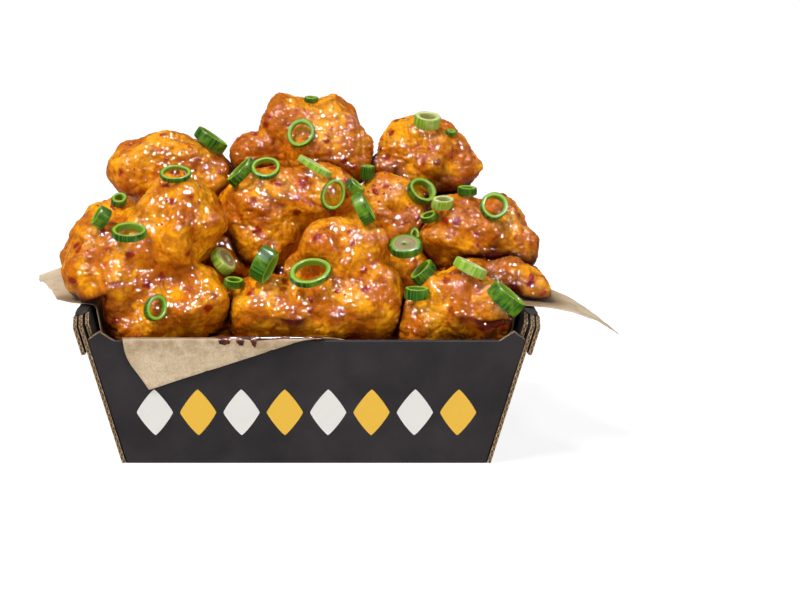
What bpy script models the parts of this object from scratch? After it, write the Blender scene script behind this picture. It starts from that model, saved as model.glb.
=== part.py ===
"""Chicken wings serving: a takeaway tray of folded board, lined with a sheet of paper and
heaped with glazed wing pieces, with rings of spring onion lying on them.

Everything is worked out in millimetres and set down in metres. The tray stands on z = 0 with
the middle of its floor at the origin, its long side along X and its front towards -Y.
Each piece of food is a lumpy ball: a distance field of a few round lobes, cut off half way to
every neighbour, with the corners of a ball of even triangles moved out to its surface.
"""
import math
from dataclasses import dataclass

import bmesh
import bpy
import numpy as np
from mathutils import Matrix, Vector

MM = 0.001

# The tray, in millimetres
FLOOR_LENGTH = 155.0
FLOOR_DEPTH = 112.0
FRONT_HEIGHT = 55.0
END_HEIGHT = 64.5
WALL_LEAN = math.radians(13.9)
BOARD = 1.6
EAR_WIDTH = 11.6
EAR_RISE = 4.2
CORNER_CUT = (8.0, 3.0)
CUFF_DROP = 15.0
FLAP_DROP = 12.0
CUFF_GAP = 0.8
END_PROUD = 0.5
FLAP_INSET = 2.4
SIDE_INSET = 0.8

# The paper, as it lies from the tray's middle outwards: (distance out, height) of each fold
PAPER = 0.4
PAPER_FOLD_END = (74.0, 2.2)
PAPER_RIM_END = (87.6, 67.6)
PAPER_OVER_END = (98.4, 66.6)
PAPER_FOLD_SIDE = (53.2, 2.2)
PAPER_RIM_SIDE = (67.0, 56.2)
PAPER_OVER_SIDE = (71.4, 56.5)
PAPER_HEM_SIDE = (64.6, 28.6)
# Cut edges of the sheet laid flat, each from one point to the next, clockwise. The sheet dips
# in at its front left, so the hem there and the rest of the sheet have an edge each.
PAPER_HEM_EDGE = ((-65, -137), (-82, -108.9))
PAPER_CORNER_EDGE = ((-82, -108.9), (-159, -38))
PAPER_EDGES = (((-159, -38), (-182, 58)), ((-182, 58), (60, 158)), ((60, 158), (187, -46)), ((187, -46), (-65, -137)))

# Food: clear space between two pieces, and between a piece and the paper
GAP = 1.4
LINING_CLEARANCE = 1.0
RIM_ROUND = 4.6
RING_CLEARANCE = 0.6
SETTLE_DEPTHS = (-40.0, 110.0, 0.35)
LOBE_BLEND = 3.2
CRUST_WAVES = 7
CRUST_LENGTHS = (11.0, 24.0)
CRUST_HEIGHT = 0.5
MARCH_STEPS = 90
MARCH_REACH = 58.0
SHOWN_FACES = 440
SMALL_FACES = 220
BURIED_FACES = 200

# The point that the heap is looked at from when the rings are dropped on it
EYE = np.array([-2.7, -795.0, 200.0])
FRONT_OF_HEAP = -60.0
RING_SIDES = 12

# Lobes of each wing piece that shows: (x, y, z, radius)
WINGS = {
    "wing_front_left": (
        (-86, -38, 82, 17.5), (-79, -40, 66, 14), (-68, -36, 88, 17), (-52.5, -34, 101, 17.5), (-66, -45, 60, 14),
        (-46, -44, 66, 15), (-84, -25, 93, 14), (-54, -53, 93, 6), (-68, -18, 80, 17), (-80, -47, 75, 12)),
    "wing_upper_left": ((-73, 4, 116, 13), (-59, 6, 120, 14), (-44, 6, 113, 13), (-62, 12, 105, 15)),
    "wing_top": (
        (-25, 8, 124, 9), (-10, 14, 138, 10), (11, 14, 136, 12), (4, 12, 123, 15),
        (17, 8, 122, 12), (5, 28, 120, 16)),
    "wing_middle": (
        (-19, -10, 105, 16), (5, -10, 108, 14), (-19, -14, 91, 14), (10, -8, 98, 13), (-7, 4, 97, 16)),
    "wing_front": (
        (7, -44, 91, 10), (21, -42, 88, 12), (25, -44, 67, 17), (-17, -46, 63, 15),
        (4, -48, 63, 14), (-4, -46, 83, 5), (14, -28, 69, 14)),
    "wing_upper_right": (
        (46, 16, 129, 11), (58, 16, 124, 13), (67, 12, 118, 10), (32, 12, 118, 6),
        (53, 12, 112, 12), (56, 28, 117, 15)),
    "wing_centre_right": ((35, -1, 103, 13), (44, -5, 97, 10), (36, -5, 90, 11)),
    "wing_right": ((67, -16, 91, 16.5), (86, -14, 93, 11), (87, -18, 83, 12), (78, -12, 85, 14), (76, 4, 90, 14)),
    "wing_right_low": ((82, -32, 72, 11), (95, -34, 69.5, 10.5), (70, -32, 75, 8), (88, -18, 70, 12)),
    "wing_front_right": (
        (59, -46, 68, 13), (74, -47, 63, 14), (49, -50, 58, 11), (82, -50, 59, 11), (67, -30, 60, 14)),
}
SMALL_WINGS = {
    "wing_gap_left": ((-34, -14, 79, 11), (-41, -8, 70, 11), (-28, -8, 68, 10)),
    "wing_gap_right": ((42, -24, 79, 10), (49, -18, 68, 10), (40, -14, 72, 10)),
}
# Pieces that the front row hides: (x, y, z, half size)
BURIED = {
    "wing_floor_front_left": (-51, -27, 28, 31),
    "wing_floor_front": (0, -28, 27, 31),
    "wing_floor_front_right": (51, -27, 28, 31),
    "wing_floor_back_left": (-52, 27, 28, 31),
    "wing_floor_back": (-1, 28, 27, 31),
    "wing_floor_back_right": (50, 27, 28, 31),
    "wing_core_left": (-24, -3, 59, 21),
    "wing_core_right": (22, -5, 60, 23),
    "wing_back_left": (-60, 37, 67, 28),
    "wing_back": (-6, 39, 69, 25),
    "wing_back_right": (50, 38, 67, 28),
    "wing_rear_left": (-51, 18, 90, 26),
    "wing_rear_top": (-3, 31, 98, 22),
    "wing_rear_right": (52, 18, 92, 24),
}


@dataclass(frozen=True)
class Slice:
    """A slice of spring onion: where it is seen against the heap's front plane, which way its
    axis points, and its size."""

    x: float
    z: float
    azimuth: float
    elevation: float
    roll: float
    width: float
    squash: float
    length: float
    wall: float = 1.8
    pale: bool = False


SLICES = (
    Slice(-39.0, 136.2, 80, 55, 90, 15.5, 0.60, 5.0, 1.8),
    Slice(-53.3, 122.5, 0, 55, 0, 13.0, 0.75, 2.2, 1.5),
    Slice(-26.3, 123.3, -75, 45, 90, 14.5, 0.60, 4.2, 1.8),
    Slice(-16.6, 124.8, 5, 50, 18, 13.0, 0.90, 2.4, 1.7),
    Slice(-2.3, 139.0, -6, 18, 50, 13.6, 0.86, 3.0, 2.0),
    Slice(1.8, 152.8, 20, 70, 0, 6.5, 0.70, 2.0, 1.8),
    Slice(3.4, 125.5, 80, 60, 90, 16.0, 0.50, 2.6, 1.8, True),
    Slice(10.8, 114.0, 18, 12, 64, 14.4, 0.70, 2.6, 1.7),
    Slice(19.6, 117.0, 60, 50, 90, 8.6, 0.60, 4.2, 1.8),
    Slice(23.2, 108.2, 80, 28, 90, 14.0, 0.60, 5.0, 1.8),
    Slice(24.7, 123.2, 15, 76, 0, 6.2, 0.80, 6.0, 1.8),
    Slice(48.8, 144.0, 12, 62, -16, 11.6, 0.72, 5.4, 2.4, True),
    Slice(58.4, 139.4, 40, 60, 0, 5.6, 0.70, 1.8, 1.8),
    Slice(46.8, 115.4, 26, 34, -24, 13.4, 0.86, 4.2, 2.0),
    Slice(55.6, 110.6, 20, 66, 8, 10.5, 0.60, 4.2, 2.0, True),
    Slice(65.4, 115.6, -10, 76, -10, 8.6, 0.60, 3.4, 1.8),
    Slice(76.4, 109.2, 8, 26, 40, 12.8, 0.90, 3.8, 1.9),
    Slice(50.2, 104.8, -35, 50, 25, 8.0, 0.60, 3.4, 1.8),
    Slice(43.6, 97.0, 30, 30, 60, 7.4, 0.62, 3.4, 1.8),
    Slice(40.4, 92.6, -10, 50, 4, 14.4, 0.80, 4.4, 6.4),
    Slice(48.0, 81.8, -65, 48, 90, 12.0, 0.60, 4.8, 1.8),
    Slice(67.1, 83.8, 80, 64, 90, 14.5, 0.50, 4.2, 2.0, True),
    Slice(45.4, 73.2, 4, 80, -4, 10.4, 0.62, 4.6, 1.8),
    Slice(82.1, 70.9, 75, 50, 90, 16.0, 0.62, 6.4, 2.1),
    Slice(-34.2, 86.5, 63, 38, 90, 13.0, 0.80, 5.0, 5.2, True),
    Slice(-30.0, 77.6, 20, 62, -10, 8.4, 0.60, 3.6, 1.8),
    Slice(-17.7, 85.0, 65, -25, 90, 15.5, 0.60, 7.0, 2.4),
    Slice(1.6, 81.8, -8, 50, 18, 18.4, 0.74, 3.2, 2.4),
    Slice(-72.6, 98.4, 4, 66, -4, 14.4, 0.80, 3.4, 1.8),
    Slice(-83.9, 104.6, -70, 30, 80, 9.6, 0.72, 5.0, 1.8),
    Slice(-76.6, 111.8, 20, 52, 30, 7.6, 0.76, 3.4, 1.7),
    Slice(-62.2, 67.0, 32, 14, 52, 11.4, 0.84, 3.4, 1.8),
)

BOARD_COLOUR = (0.045, 0.038, 0.041, 1.0)
PAPER_COLOUR = (0.69, 0.53, 0.34, 1.0)
WING_COLOUR = (0.62, 0.20, 0.02, 1.0)
GREEN_COLOUR = (0.13, 0.30, 0.02, 1.0)
PALE_COLOUR = (0.50, 0.62, 0.20, 1.0)


def clear_scene():
    """Empties the scene."""
    for found in list(bpy.data.objects):
        bpy.data.objects.remove(found)


def material(name, colour, roughness):
    """A plain finish of one colour."""
    made = bpy.data.materials.new(name)
    made.use_nodes = True
    shader = made.node_tree.nodes["Principled BSDF"]
    shader.inputs["Base Color"].default_value = colour
    shader.inputs["Roughness"].default_value = roughness
    shader.inputs["Metallic"].default_value = 0.0
    return made


def mesh_object(name, source, finish, collection):
    """Puts a bmesh, still in millimetres, into a new object in metres."""
    mesh = bpy.data.meshes.new(name)
    bmesh.ops.transform(source, matrix=Matrix.Scale(MM, 4), verts=source.verts)
    source.to_mesh(mesh)
    source.free()
    mesh.materials.append(finish)
    made = bpy.data.objects.new(name, mesh)
    collection.objects.link(made)
    return made


# Tray

def outline_board(name, outline, near, far, across, up, corner, collection):
    """A flat board: an outline in its own plane, between two depths along its outward normal.

    across and up are the plane's directions in the tray, and corner is the outline's zero point.
    """
    curve = bpy.data.curves.new(name, "CURVE")
    curve.dimensions = "2D"
    curve.fill_mode = "BOTH"
    curve.extrude = (far - near) / 2 * MM
    spline = curve.splines.new("POLY")
    spline.points.add(len(outline) - 1)
    for point, (a, b) in zip(spline.points, outline):
        point.co = (a * MM, b * MM, 0.0, 1.0)
    spline.use_cyclic_u = True
    flat = bpy.data.objects.new(name + "_outline", curve)
    collection.objects.link(flat)
    bpy.context.view_layer.update()
    mesh = bpy.data.meshes.new_from_object(flat.evaluated_get(bpy.context.evaluated_depsgraph_get()))
    bpy.data.objects.remove(flat)
    work = bmesh.new()
    work.from_mesh(mesh)
    bmesh.ops.remove_doubles(work, verts=work.verts, dist=1e-6)
    across, up = Vector(across).normalized(), Vector(up).normalized()
    normal = across.cross(up)
    place = Vector(corner) * MM + normal * ((near + far) / 2 * MM)
    turn = Matrix((across, up, normal)).transposed().to_4x4()
    bmesh.ops.transform(work, matrix=Matrix.Translation(place) @ turn, verts=work.verts)
    bmesh.ops.recalc_face_normals(work, faces=work.faces)
    work.to_mesh(mesh)
    work.free()
    made = bpy.data.objects.new(name, mesh)
    collection.objects.link(made)
    return made


def turned(source, name, collection):
    """A copy of a board turned half round the tray's upright axis."""
    mesh = source.data.copy()
    mesh.transform(Matrix.Rotation(math.pi, 4, "Z"))
    made = bpy.data.objects.new(name, mesh)
    collection.objects.link(made)
    return made


def side_outline():
    """The front wall: wider at its top, with a low pointed ear at each upper corner. It ends
    half way into the end walls."""
    low = FLOOR_LENGTH / 2 - SIDE_INSET
    rise = FRONT_HEIGHT / math.cos(WALL_LEAN)
    high = low + rise * math.sin(WALL_LEAN)
    half = [
        (low, 0.0), (high, rise), (high - 1.6, rise + 1.6),
        (high - EAR_WIDTH / 2 - 0.8, rise + EAR_RISE), (high - EAR_WIDTH, rise + 0.6), (high - EAR_WIDTH - 1.0, rise)]
    return half + [(-a, b) for a, b in reversed(half)]


def end_outline(bottom, top, proud):
    """A board of the end wall between two heights, with its upper corners cut off. proud is how
    far its edges stand past the long walls' faces."""
    slant = 1 / math.cos(WALL_LEAN)
    low, high = bottom * slant, top * slant
    cut_depth, cut_rise = CORNER_CUT
    shoulder = high - cut_rise
    half_low = FLOOR_DEPTH / 2 + proud + low * math.sin(WALL_LEAN)
    half_shoulder = FLOOR_DEPTH / 2 + proud + shoulder * math.sin(WALL_LEAN)
    half_top = half_shoulder - cut_depth
    half = [(half_low, low), (half_shoulder, shoulder), (half_top, high)]
    return half + [(-a, b) for a, b in reversed(half)]


def make_tray(collection, cutters):
    """The folded tray, its boards joined in one solid."""
    lean = Vector((0, -math.sin(WALL_LEAN), math.cos(WALL_LEAN)))
    end_lean = Vector((math.sin(WALL_LEAN), 0, math.cos(WALL_LEAN)))
    long_side = ((1, 0, 0), lean, (0, -FLOOR_DEPTH / 2, 0))
    short_side = ((0, 1, 0), end_lean, (FLOOR_LENGTH / 2, 0, 0))
    front = outline_board("front_wall", side_outline(), -BOARD, 0.0, *long_side, cutters)
    end = outline_board("end_wall", end_outline(0.0, END_HEIGHT, END_PROUD), -BOARD, 0.0, *short_side, cutters)
    cuff = outline_board(
        "end_cuff", end_outline(END_HEIGHT - CUFF_DROP, END_HEIGHT, END_PROUD + 0.3),
        CUFF_GAP, CUFF_GAP + BOARD, *short_side, cutters)
    flap = outline_board(
        "end_flap", end_outline(END_HEIGHT - FLAP_DROP, END_HEIGHT, -FLAP_INSET),
        -2 * BOARD - CUFF_GAP, -BOARD - CUFF_GAP, *short_side, cutters)
    slant = END_HEIGHT / math.cos(WALL_LEAN)
    half_fold = FLOOR_DEPTH / 2 + slant * math.sin(WALL_LEAN) - CORNER_CUT[0] - FLAP_INSET - 1.5
    fold = outline_board(
        "end_fold", [(half_fold, slant - 0.7), (half_fold, slant + BOARD), (-half_fold, slant + BOARD),
                     (-half_fold, slant - 0.7)],
        -2 * BOARD - CUFF_GAP + 0.1, CUFF_GAP + BOARD - 0.1, *short_side, cutters)
    boards = [front, end, cuff, flap, fold]
    boards += [turned(board, board.name + "_far", cutters) for board in boards]

    floor = bmesh.new()
    bmesh.ops.create_cube(floor, size=1.0)
    bmesh.ops.scale(floor, vec=(FLOOR_LENGTH - 0.8, FLOOR_DEPTH - 0.8, BOARD), verts=floor.verts)
    bmesh.ops.translate(floor, vec=(0, 0, BOARD / 2), verts=floor.verts)
    tray = mesh_object("tray", floor, material("black_board", BOARD_COLOUR, 0.75), collection)
    for board in boards:
        board.hide_render = True
        board.display_type = "WIRE"
    group = bpy.data.collections.new("tray_boards")
    bpy.context.scene.collection.children.link(group)
    for board in boards:
        group.objects.link(board)
        cutters.objects.unlink(board)
    join = tray.modifiers.new("join_boards", "BOOLEAN")
    join.operation = "UNION"
    join.solver = "EXACT"
    join.operand_type = "COLLECTION"
    join.collection = group
    return tray


# Paper

def lie_along(distance, path):
    """Where a point of the flat sheet comes to along one direction.

    distance is how far it lies from the middle of the flat sheet; path lists (out, up) points
    from the fold at the floor outwards. Returns its distance out and its height.
    """
    fold_out, fold_up = path[0]
    if distance <= fold_out:
        return distance, fold_up
    left = distance - fold_out
    for (x0, z0), (x1, z1) in zip(path, path[1:]):
        step = math.hypot(x1 - x0, z1 - z0)
        if left <= step:
            return x0 + (x1 - x0) * left / step, z0 + (z1 - z0) * left / step
        left -= step
    run = math.hypot(x1 - x0, z1 - z0)
    return x1 + (x1 - x0) * left / run, z1 + (z1 - z0) * left / run


def path_lengths(path):
    """The flat distance of each fold from the sheet's middle."""
    marks = [path[0][0]]
    for (x0, z0), (x1, z1) in zip(path, path[1:]):
        marks.append(marks[-1] + math.hypot(x1 - x0, z1 - z0))
    return marks


def between(low, high, count):
    """Evenly spaced values from low, which is left out, up to high."""
    return [low + (high - low) * (i + 1) / count for i in range(count)]


def paper_paths():
    """The sheet's way up an end wall to its flap, left and right, and up a long wall."""
    over_x, over_z = PAPER_OVER_END
    left = (PAPER_FOLD_END, PAPER_RIM_END, PAPER_OVER_END, (over_x + 15, over_z - 0.6), (over_x + 32, over_z - 6.5))
    right = (PAPER_FOLD_END, PAPER_RIM_END, PAPER_OVER_END, (over_x + 13, over_z - 2.6), (over_x + 25, over_z - 7.4),
             (over_x + 36, over_z - 15.0))
    side = (PAPER_FOLD_SIDE, PAPER_RIM_SIDE, PAPER_OVER_SIDE, PAPER_HEM_SIDE)
    return left, right, side


def laid_paper_point(x, y):
    """Where a point of the flat sheet lies in the tray."""
    left, right, side = paper_paths()
    out_x, up_x = lie_along(abs(x), left if x < 0 else right)
    out_y, up_y = lie_along(abs(y), side)
    over_end = abs(x) > path_lengths(left)[2]
    over_side = abs(y) > path_lengths(side)[2]
    up = up_x if over_end else up_y if over_side else max(up_x, up_y)
    if over_end:
        beyond = abs(x) - path_lengths(left)[2]
        up += 0.035 * beyond * math.sin(y / 17.0 + (0.6 if x > 0 else 2.2))
    return math.copysign(out_x, x), math.copysign(out_y, y), up


def cut_sheet(sheet, edge, faces):
    """Cuts these faces of the flat sheet along an edge of its outline and drops what is outside."""
    (x0, y0), (x1, y1) = edge
    geometry = set(faces)
    for face in faces:
        geometry.update(face.verts)
        geometry.update(face.edges)
    bmesh.ops.bisect_plane(
        sheet, geom=list(geometry), plane_co=(x0, y0, 0.0),
        plane_no=Vector((y0 - y1, x1 - x0, 0.0)).normalized(), clear_outer=True)


def make_paper(collection):
    """The liner: a flat sheet creased where the tray folds, cut to its outline, laid in and
    over the tray, and given a thickness."""
    left, right, side = (path_lengths(path) for path in paper_paths())
    wall_step = path_lengths((PAPER_FOLD_SIDE, PAPER_RIM_SIDE))[1] - PAPER_FOLD_SIDE[0]
    wall_marks = between(0.0, wall_step, 3)
    end_marks = [left[0] + mark for mark in wall_marks] + [left[1], left[2]]
    side_marks = [side[0] + mark for mark in wall_marks] + [side[2]]
    inner = [-left[0], -left[0] / 2, 0.0, left[0] / 2, left[0]]
    across = sorted([-m for m in end_marks] + inner + end_marks
                    + [-left[2] - d for d in (15.0, 32.0)] + [right[2] + d for d in (13.3, 26.2, 40.0)])
    away = sorted([-m for m in side_marks] + [-side[0], -side[0] / 3, side[0] / 3, side[0]] + side_marks
                  + [-side[2] - d for d in (13.0, 27.0)] + [side[2] + d for d in (15.0, 31.0, 48.0)])
    sheet = bmesh.new()
    bmesh.ops.create_grid(sheet, x_segments=len(across) - 1, y_segments=len(away) - 1, size=1.0)
    for vert in sheet.verts:
        column = round((vert.co.x + 1) / 2 * (len(across) - 1))
        row = round((vert.co.y + 1) / 2 * (len(away) - 1))
        vert.co = (across[column], away[row], 0.0)
    for face in list(sheet.faces):
        centre = face.calc_center_median()
        corners = sorted(face.verts, key=lambda v: v.co.x * math.copysign(1, centre.x) + v.co.y * math.copysign(1, centre.y))
        bmesh.utils.face_split(face, corners[0], corners[-1])
    for edge in PAPER_EDGES:
        cut_sheet(sheet, edge, sheet.faces[:])
    hem_line = PAPER_HEM_EDGE[1][1]
    cut_sheet(sheet, PAPER_HEM_EDGE, [face for face in sheet.faces if face.calc_center_median().y < hem_line])
    cut_sheet(sheet, PAPER_CORNER_EDGE, [face for face in sheet.faces if face.calc_center_median().y > hem_line])
    bmesh.ops.remove_doubles(sheet, verts=sheet.verts, dist=0.8)
    bmesh.ops.triangulate(sheet, faces=sheet.faces)
    for vert in sheet.verts:
        vert.co = laid_paper_point(vert.co.x, vert.co.y)
    paper = mesh_object("paper", sheet, material("brown_paper", PAPER_COLOUR, 0.8), collection)
    wall = paper.modifiers.new("sheet_thickness", "SOLIDIFY")
    wall.thickness = PAPER * MM
    wall.offset = 0.0
    wall.use_even_offset = False
    return paper


# Food fields

def tumbled_lobes(x, y, z, half_size, seed):
    """Lobes of a piece that lies hidden: one big one and four round it, turned at random."""
    draw = np.random.default_rng(seed)
    spin = draw.uniform(0, 2 * math.pi)
    lobes = [(x, y, z, half_size * 0.66)]
    for i, lift in enumerate((-0.35, 0.35, -0.25, 0.3)):
        angle = spin + i * math.pi / 2
        reach = half_size * draw.uniform(0.42, 0.54)
        lobes.append((
            x + reach * math.cos(angle), y + reach * math.sin(angle), z + half_size * lift,
            half_size * draw.uniform(0.46, 0.58)))
    return lobes


class Piece:
    """One piece of food as a distance field: lobes blended into each other, with low waves."""

    def __init__(self, name, lobes, faces, seed):
        self.name = name
        self.lobes = np.array(lobes, dtype=float)
        self.faces = faces
        draw = np.random.default_rng(seed)
        turns = draw.normal(size=(CRUST_WAVES, 3))
        turns /= np.linalg.norm(turns, axis=1, keepdims=True)
        lengths = draw.uniform(*CRUST_LENGTHS, size=(CRUST_WAVES, 1))
        self.waves = turns * 2 * math.pi / lengths
        self.phases = draw.uniform(0, 2 * math.pi, CRUST_WAVES)
        self.centre = np.average(self.lobes[:, :3], axis=0, weights=self.lobes[:, 3] ** 3)

    def field(self, points):
        """Signed distance from the surface, below zero inside."""
        away = np.linalg.norm(points[..., None, :] - self.lobes[:, :3], axis=-1) - self.lobes[:, 3]
        least = away.min(axis=-1)
        blend = np.exp(-(away - least[..., None]) / LOBE_BLEND).sum(axis=-1)
        relief = np.sin(points @ self.waves.T + self.phases).sum(axis=-1) * CRUST_HEIGHT
        return least - LOBE_BLEND * np.log(blend) + relief


def lining_distance(points):
    """How far points lie inside the lined tray, or above its rim; below zero in the walls."""
    x, y, z = np.abs(points[..., 0]), np.abs(points[..., 1]), points[..., 2]
    room = z - PAPER_FOLD_END[1]
    for across, fold, rim, over in (
            (x, PAPER_FOLD_END, PAPER_RIM_END, PAPER_OVER_END), (y, PAPER_FOLD_SIDE, PAPER_RIM_SIDE, PAPER_OVER_SIDE)):
        run, rise = rim[0] - fold[0], rim[1] - fold[1]
        length = math.hypot(run, rise)
        inside = ((fold[0] - across) * rise + (z - fold[1]) * run) / length
        above = z - over[1]
        rounding = RIM_ROUND * np.exp(-np.abs(inside - above) / RIM_ROUND)
        room = np.minimum(room, np.maximum(inside, above) - rounding)
    return room - LINING_CLEARANCE


def cut_field(piece, others, points):
    """A piece's field, cut half way to its neighbours and at the lining."""
    own = piece.field(points)
    cut = np.maximum(own, -lining_distance(points))
    for other in others:
        cut = np.maximum(cut, (own - other.field(points) + GAP) / 2)
    return cut


def near_pieces(piece, pieces):
    """The pieces whose lobes come close to this one's."""
    found = []
    for other in pieces:
        if other is piece:
            continue
        apart = np.linalg.norm(piece.lobes[:, None, :3] - other.lobes[None, :, :3], axis=-1)
        if (apart - piece.lobes[:, None, 3] - other.lobes[None, :, 3]).min() < 8.0:
            found.append(other)
    return found


def even_ball(faces):
    """A unit ball of about this many even triangles: a spiral of points and their hull."""
    count = faces // 2 + 2
    step = np.arange(count) + 0.5
    height = 1 - 2 * step / count
    angle = step * math.pi * (3 - math.sqrt(5))
    radius = np.sqrt(1 - height ** 2)
    ball = bmesh.new()
    for point in zip(radius * np.cos(angle), radius * np.sin(angle), height):
        ball.verts.new(point)
    bmesh.ops.convex_hull(ball, input=ball.verts)
    ball.normal_update()
    return ball


def reach_surface(piece, others, directions):
    """How far the cut surface lies from the piece's centre along each direction."""
    steps = np.linspace(0.0, MARCH_REACH, MARCH_STEPS)
    points = piece.centre + directions[:, None, :] * steps[None, :, None]
    outside = cut_field(piece, others, points) > 0
    first = np.argmax(outside, axis=1)
    low, high = steps[np.maximum(first - 1, 0)], steps[first]
    for _ in range(14):
        middle = (low + high) / 2
        out = cut_field(piece, others, piece.centre + directions * middle[:, None]) > 0
        low, high = np.where(out, low, middle), np.where(out, middle, high)
    return low


def make_wing(piece, pieces, finish, collection):
    """One wing piece as a closed mesh."""
    ball = even_ball(piece.faces)
    others = near_pieces(piece, pieces)
    directions = np.array([vert.co for vert in ball.verts])
    reach = reach_surface(piece, others, directions)
    for vert, place in zip(ball.verts, piece.centre + directions * reach[:, None]):
        vert.co = place
    bmesh.ops.recalc_face_normals(ball, faces=ball.faces)
    made = mesh_object(piece.name, ball, finish, collection)
    made.data.shade_smooth()
    return made


def make_pieces():
    """Every wing piece's field."""
    pieces = [Piece(name, lobes, SHOWN_FACES, 40 + i) for i, (name, lobes) in enumerate(WINGS.items())]
    pieces += [Piece(name, lobes, SMALL_FACES, 70 + i) for i, (name, lobes) in enumerate(SMALL_WINGS.items())]
    for i, (name, (x, y, z, half)) in enumerate(BURIED.items()):
        pieces.append(Piece(name, tumbled_lobes(x, y, z, half, 300 + i), BURIED_FACES, 90 + i))
    return pieces


# Spring onion

class PlacedSlice:
    """A slice with its frame: where it lies and its axes, as used to keep others clear of it."""

    def __init__(self, cut, centre):
        self.cut = cut
        azimuth, elevation, roll = (math.radians(v) for v in (cut.azimuth, cut.elevation, cut.roll))
        axis = Vector((
            math.sin(azimuth) * math.cos(elevation), -math.cos(azimuth) * math.cos(elevation), math.sin(elevation)))
        level = Vector((0, 0, 1)).cross(axis).normalized()
        level = Matrix.Rotation(roll, 3, axis) @ level
        self.turn = np.array([level, axis.cross(level), axis]).T
        self.centre = np.array(centre, dtype=float)

    def outline(self):
        """Points all over the slice, in its own frame."""
        cut = self.cut
        angle = np.linspace(0, 2 * math.pi, 25)[:-1]
        rim = np.stack([np.cos(angle) * cut.width / 2, np.sin(angle) * cut.width / 2 * cut.squash], axis=1)
        inner = rim * (1 - 2 * cut.wall / cut.width)
        rows = [np.column_stack([ring, np.full(len(ring), h * cut.length / 2)])
                for ring in (rim, inner) for h in (-1.0, 0.0, 1.0)]
        return np.concatenate(rows)

    def field(self, points):
        """Rough distance from the slice."""
        local = (points - self.centre) @ self.turn
        cut = self.cut
        radius = np.hypot(local[..., 0], local[..., 1] / cut.squash)
        middle = (cut.width - cut.wall) / 2
        around = np.abs(radius - middle) * cut.squash - cut.wall / 2
        return np.maximum(around, np.abs(local[..., 2]) - cut.length / 2)


def settle(cut, pieces, placed):
    """Lays a slice on the heap: it comes in along the line of sight until it just touches the
    food, and back out until it is clear of the slices that lie there already."""
    target = np.array([cut.x, FRONT_OF_HEAP, cut.z])
    sight = (target - EYE) / np.linalg.norm(target - EYE)
    slice_ = PlacedSlice(cut, (0, 0, 0))
    outline = slice_.outline() @ slice_.turn.T
    depths = np.arange(*SETTLE_DEPTHS)
    points = (target + sight * depths[:, None])[:, None, :] + outline
    room = np.minimum.reduce([piece.field(points).min(axis=1) for piece in pieces])
    touching = np.argmax(room < RING_CLEARANCE) - 1
    apart = np.full(len(depths), RING_CLEARANCE)
    for other in placed:
        apart = np.minimum(apart, other.field(points).min(axis=1))
    free = np.nonzero(apart[:touching + 1] >= RING_CLEARANCE)[0][-1]
    slice_.centre = target + sight * depths[free]
    return slice_


def make_slice(name, slice_, finish, collection):
    """One slice: a wall profile turned round its axis, then squashed and laid."""
    cut = slice_.cut
    outer, inner, half = cut.width / 2, cut.width / 2 - cut.wall, cut.length / 2
    profile = bpy.data.meshes.new(name)
    corners = [(outer, half), (outer, -half), (inner, -half), (inner, half)]
    profile.from_pydata([(r * MM, 0, h * MM) for r, h in corners], [(0, 1), (1, 2), (2, 3), (3, 0)], [])
    made = bpy.data.objects.new(name, profile)
    profile.materials.append(finish)
    collection.objects.link(made)
    turn = made.modifiers.new("turned", "SCREW")
    turn.axis = "Z"
    turn.angle = 2 * math.pi
    turn.steps = turn.render_steps = RING_SIDES
    turn.use_merge_vertices = True
    turn.merge_threshold = 0.00001
    turn.use_smooth_shade = True
    squash = Matrix.Diagonal((1.0, cut.squash, 1.0, 1.0))
    place = Matrix.Translation(Vector(slice_.centre) * MM)
    made.matrix_world = place @ Matrix(slice_.turn.tolist()).to_4x4() @ squash
    return made


def main():
    """Builds the whole serving."""
    clear_scene()
    serving = bpy.data.collections.new("chicken_wings_serving")
    guides = bpy.data.collections.new("guides")
    for group in (serving, guides):
        bpy.context.scene.collection.children.link(group)
    make_tray(serving, guides)
    make_paper(serving)
    pieces = make_pieces()
    crust = material("glazed_crust", WING_COLOUR, 0.3)
    for piece in pieces:
        make_wing(piece, pieces, crust, serving)
    green = material("onion_green", GREEN_COLOUR, 0.4)
    pale = material("onion_pale", PALE_COLOUR, 0.4)
    placed = []
    for number, cut in enumerate(SLICES, start=1):
        slice_ = settle(cut, pieces, placed)
        placed.append(slice_)
        make_slice(f"onion_{number:02d}", slice_, pale if cut.pale else green, serving)


main()
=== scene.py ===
"""Looks of the chicken wings serving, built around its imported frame.

The tray of black corrugated board, the paper that lines it, the heap of glazed wing pieces and
the rings of spring onion on them each replace their CAD nodes with finer surfaces. Shapes are
worked out in millimetres, in the frame's own axes, and set down in metres.
"""
import logging
import math
from dataclasses import dataclass, field
from enum import Enum

import bmesh
import bpy
import numpy as np
from mathutils import Matrix, Vector


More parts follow.
